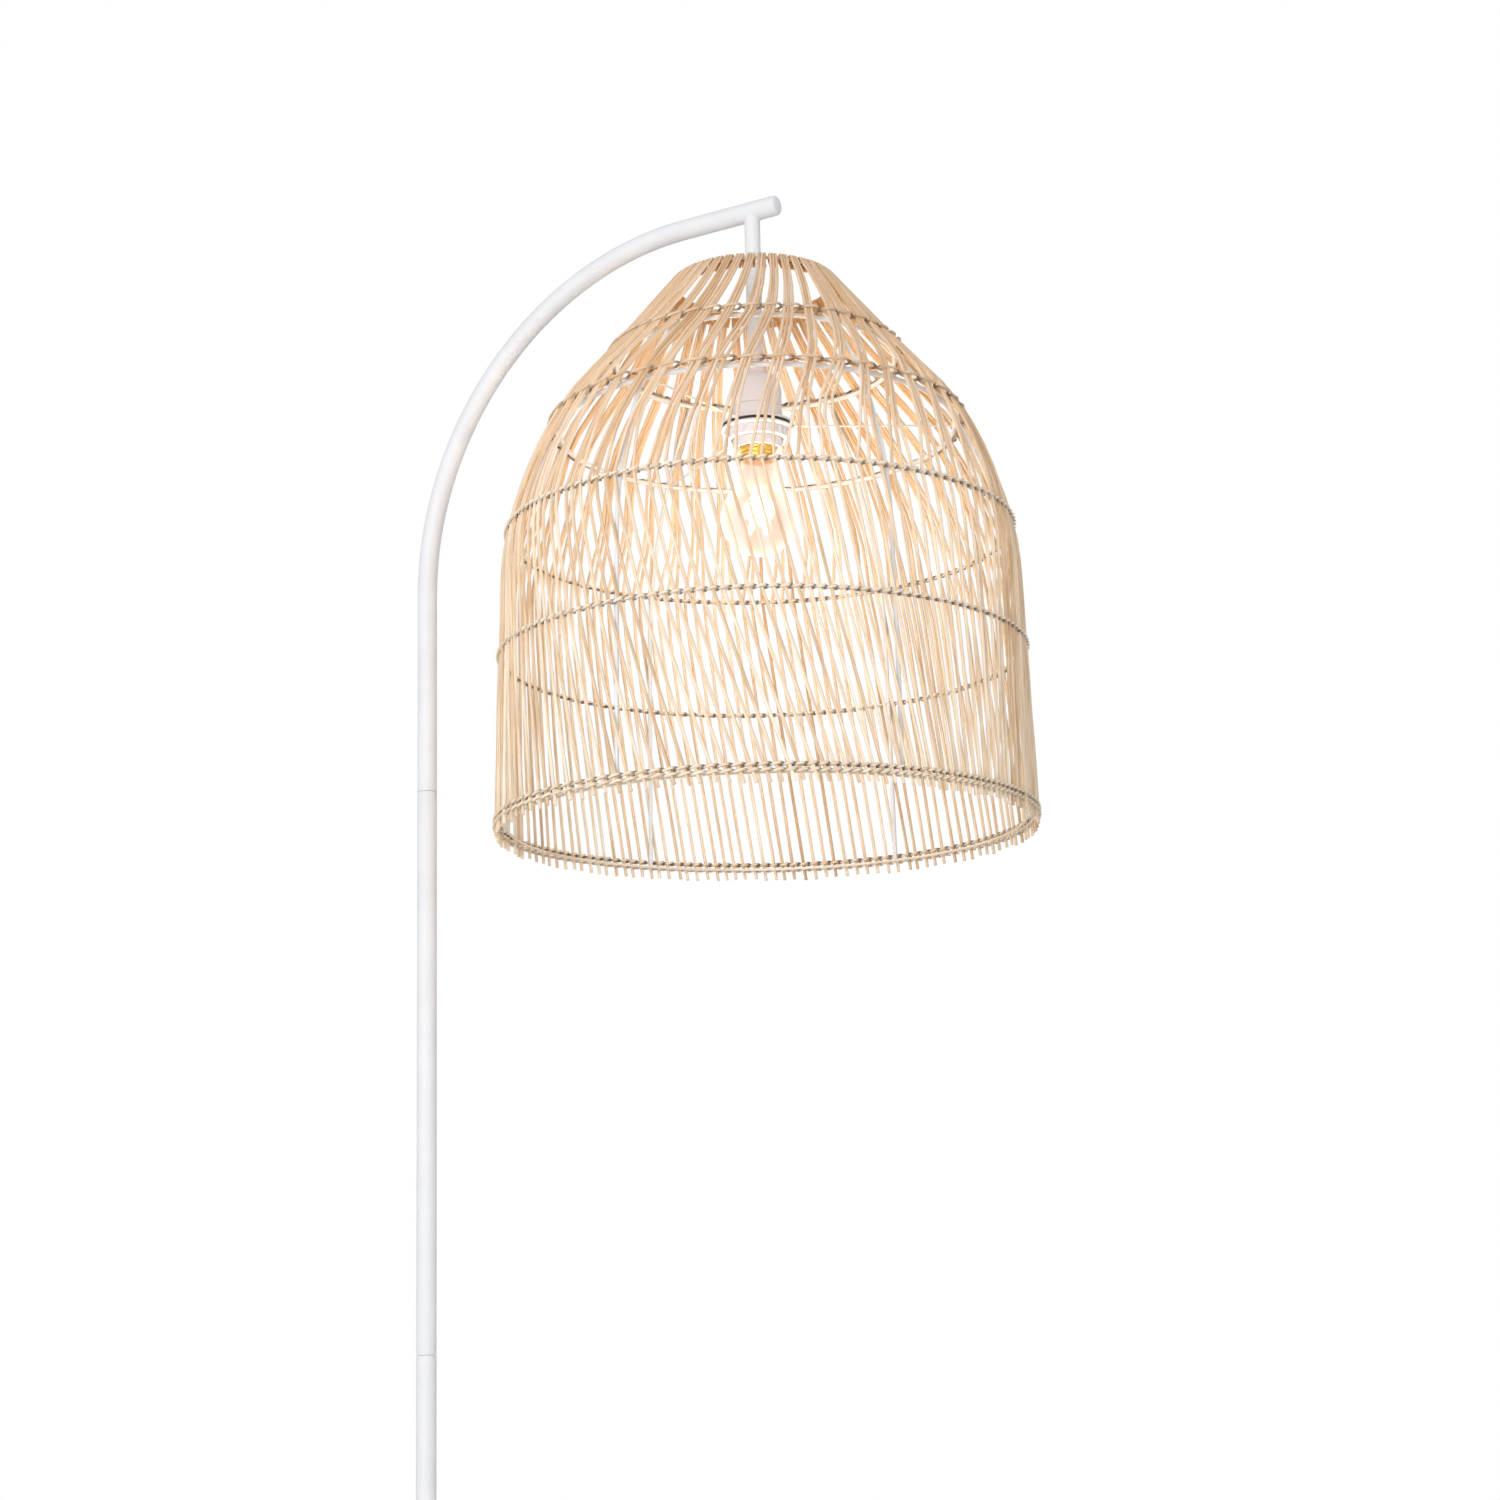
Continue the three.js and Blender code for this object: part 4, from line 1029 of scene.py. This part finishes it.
def make_twining(name, share, ribs, rib_half, tone, rows=(0,), painted_shadow_shares=(1,), climb=strand_rise):
    """A hoop of two strands that cross between the ribs, one outside and one inside by turns, with painted
    shadow where they dive.
    """
    count = ribs * strand_steps
    reach = cane_radius + strand_radius
    radius = wall(share)[0]
    # A strand lies flat on a wide rib and dives steeply beside it
    flat = strand_flatness + rib_flatness * rib_half / (math.pi * radius / ribs)
    routes = []
    painted_shades = []
    phases = [chance.uniform(0, full_turn) for _ in range(wander_waves)]
    for row, painted_shadow_share, side in [(*row, side) for row in zip(rows, painted_shadow_shares) for side in (1, -1)]:
        route = []
        painted_shade = []
        for i in range(count):
            angle = full_turn * i / count
            phase = math.pi * i / strand_steps
            out = side * reach * math.tanh(flat * math.cos(phase)) / math.tanh(flat)
            waves = sum(math.sin((k + 1) * angle + phases[k]) for k in range(wander_waves))
            rise = row + side * climb * math.sin(phase) + waves / wander_waves * strand_wander
            route.append(on_weave(share + rise / shade_height, angle, out))
            # Painted shadow on the strand where it dives between the ribs
            dive = (side * math.cos(phase) - painted_shadow_centre_share) / painted_shadow_spread_share
            painted_shade.append(painted_shadow_share * painted_shadow_depth_share * math.exp(-dive * dive))
        routes.append(route)
        painted_shades.append(painted_shade)
    tones = [tone, tone - strand_tone_step] * len(rows)
    mesh = rods(routes, strand_radius, strand_sides, closed=True, tones=tones, painted_shades=painted_shades)
    finish_piece(f"{name}_twining", mesh, "cane_weave", "shade", f"hoop_{name}")


def make_hoops():
    """Five hoops, each with its ribs' number and half width and its tone."""
    make_twining("rim", 0, cane_count, cane_radius, tone=0.6, rows=rim_rows,
                 painted_shadow_shares=rim_painted_shadow_shares)
    make_twining("middle", middle_share, cane_count, cane_radius, tone=0.75)
    make_twining("upper", upper_share, cane_count, cane_radius, tone=0.75)
    make_twining("shoulder", shoulder_share, cane_bands, shoulder_rib_half, tone=0.2,
                 climb=loose_strand_rise)
    make_twining("neck", neck_share, cane_bands, neck_rib_half, tone=0.25, climb=loose_strand_rise)


def make_frame():
    """Wire frame inside the canes: six uprights and three rings, of which the one at the rim is cane."""
    for number in range(1, upright_count + 1):
        angle = (number - 0.5) * full_turn / upright_count
        route = [on_wall(neck_share * (1 - i / upright_steps), angle, -upright_inset)
                 for i in range(upright_steps + 1)]
        mesh = rods([route], upright_radius, wire_sides)
        finish_piece(f"wire_upright_{number}", mesh, "powder_coat", "shade", f"frame_upright_{number}")

    for kind, place, radius, slot in (("wire", "neck", wire_radius, "powder_coat"),
                                      ("wire", "shoulder", wire_radius, "powder_coat"),
                                      ("cane", "rim", rim_ring_radius, "cane_weave")):
        node = f"frame_ring_{place}"
        reach = reach_of(node) - wire_radius
        ring = [round_axis(reach, full_turn * i / frame_ring_steps, middle_of(node))
                for i in range(frame_ring_steps)]
        mesh = rods([ring], radius, wire_sides, closed=True, tones=[rim_ring_tone])
        finish_piece(f"{kind}_ring_{place}", mesh, slot, "shade", node)


def make_carrier():
    """Black disc under the holder's flange, a painted shadow for the gap there, and the spokes from it to
    the shoulder's wire ring.
    """
    low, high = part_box("carrier_plate")
    # The disc reaches out flush with the flange, so that its black fills the gap as painted shadow
    outer = reach_of("holder_skirt") - disc_setback
    disc = [(disc_bore, low.z), (outer - disc_edge, low.z), (outer, low.z + disc_edge),
            (outer, high.z - disc_edge), (outer - disc_edge, high.z), (disc_bore, high.z)]
    turned_piece("carrier_disc", looped(disc), "black_paint", "shade", "carrier_plate")

    level = middle_of("carrier_plate")
    ring_height = middle_of("frame_ring_shoulder")
    ring_reach = reach_of("frame_ring_shoulder") - 2 * wire_radius
    for number in range(1, spoke_count + 1):
        angle = spoke_start_angle + (number - 1) * full_turn / spoke_count
        inner = round_axis(outer - spoke_inset, angle, level)
        clear = round_axis(spoke_level_reach, angle, level)
        end = round_axis(ring_reach + spoke_overlap, angle, ring_height)
        route = [inner, inner.lerp(clear, 0.5)]
        route += [clear.lerp(end, i / spoke_steps) for i in range(spoke_steps + 1)]
        mesh = rods([route], spoke_radius, spoke_sides)
        finish_piece(f"wire_spoke_{number}", mesh, "powder_coat", "shade", f"carrier_spoke_{number}")


def dress_inner_nodes():
    """CAD nodes that keep their shape get their finish."""
    slots = {part["node"]: part["material_slot"] for part in frame["record"]["subparts"]}
    for name, node in frame["nodes"].items():
        if not node.hide_render:
            for place in node.material_slots:
                place.material = finishes[slots[name]]


def set_camera():
    """The fitted camera: ahead from its azimuth and pitch, then rolled."""
    ahead = Vector((math.cos(camera_pitch) * math.cos(camera_azimuth),
                    math.cos(camera_pitch) * math.sin(camera_azimuth), math.sin(camera_pitch)))
    up = camera_right.cross(ahead)
    across = math.cos(camera_roll) * camera_right + math.sin(camera_roll) * up
    upward = math.cos(camera_roll) * up - math.sin(camera_roll) * camera_right
    eye = bpy.data.cameras.new("photo_camera")
    eye.lens = camera_lens
    eye.sensor_width = camera_sensor
    eye.clip_end = camera_far_end
    camera = placed("photo_camera", eye)
    turn = Matrix((across, upward, -ahead)).transposed().to_4x4()
    camera.matrix_world = Matrix.Translation(camera_place) @ turn
    scene.camera = camera


def set_studio(toward):
    """A studio that looks plain white and lights the lamp more strongly from the camera's side."""
    world = bpy.data.worlds.new("white_studio")
    scene.world = world
    world.use_nodes = True
    tree = world.node_tree
    tree.nodes.clear()
    rays = add(tree, "ShaderNodeLightPath")
    seen = add(tree, "ShaderNodeMath", {
        0: rays.outputs["Is Camera Ray"], 1: rays.outputs["Is Transmission Ray"]}, operation="MAXIMUM")
    way = add(tree, "ShaderNodeTexCoord").outputs["Generated"]
    facing = add(tree, "ShaderNodeVectorMath", {0: way, 1: toward}, operation="DOT_PRODUCT")
    bright = add(tree, "ShaderNodeMapRange", {
        "Value": facing.outputs["Value"], "From Min": -1, "From Max": 1,
        "To Min": studio_back, "To Max": studio_front})
    light = add(tree, "ShaderNodeBackground", {
        "Color": linear("#fdfeff"), "Strength": bright.outputs["Result"]})
    white = add(tree, "ShaderNodeBackground", {"Color": (1, 1, 1, 1)})
    mixed = add(tree, "ShaderNodeMixShader", {
        0: seen.outputs["Value"], 1: light.outputs["Background"], 2: white.outputs["Background"]})
    add(tree, "ShaderNodeOutputWorld", {"Surface": mixed.outputs["Shader"]})


def set_lights():
    """The white studio, one large soft lamp at the upper left, and the bulb's own warm light."""
    scene.view_settings.view_transform = "Standard"
    target = axis + Vector((0, 0, look_height))
    toward = (camera_place - target).normalized()
    set_studio(toward)

    key = bpy.data.lights.new("key", "AREA")
    key.size = key_width
    key.energy = key_watts
    place = target + toward * key_nearer - camera_right * key_left + Vector((0, 0, key_up))
    turn = (target - place).to_track_quat("-Z", "Y").to_matrix().to_4x4()
    placed("key", key).matrix_world = Matrix.Translation(place) @ turn

    glow = bpy.data.lights.new("bulb_glow", "POINT")
    glow.energy = bulb_watts
    glow.color = linear("#ffdcb0")[:3]
    glow.shadow_soft_size = bulb_light_radius
    placed("bulb_glow", glow).location = axis + Vector((0, 0, middle_of("filament_1")))


def make_floor():
    """A pale floor that keeps the shadow near the lamp and fades to white further out."""
    shape = bmesh.new()
    bmesh.ops.create_circle(shape, cap_ends=True, segments=turned_sides, radius=floor_radius)
    floor = placed("floor", as_mesh("floor", shape))
    material, tree, shader = start_material("pale_floor")
    set_inputs(tree, shader, {"Base Color": linear("#f4f4f2"), "Roughness": 0.9})
    place = add(tree, "ShaderNodeTexCoord").outputs["Object"]
    far = add(tree, "ShaderNodeVectorMath", {0: place}, operation="LENGTH")
    fade = add(tree, "ShaderNodeMapRange", {
        "Value": far.outputs["Value"], "From Min": floor_fade_start, "From Max": floor_fade_end},
        interpolation_type="SMOOTHSTEP")
    white = add(tree, "ShaderNodeEmission", {"Color": (1, 1, 1, 1)})
    rays = add(tree, "ShaderNodeLightPath")
    seen = add(tree, "ShaderNodeMath", {
        0: fade.outputs["Result"], 1: rays.outputs["Is Camera Ray"]}, operation="MULTIPLY")
    show_mix(tree, seen.outputs["Value"], shader.outputs["BSDF"], white.outputs["Emission"])
    floor.data.materials.append(material)


set_camera()
make_canes()
make_top_ring()
make_hoops()
make_frame()
make_carrier()
make_pole()
make_arm()
make_end_cap()
make_drop()
make_foot()
make_bell_cap()
make_skirt()
make_socket()
make_screw_ring()
make_bulb_cap()
make_glass()
make_strips()
dress_inner_nodes()
set_lights()
make_floor()
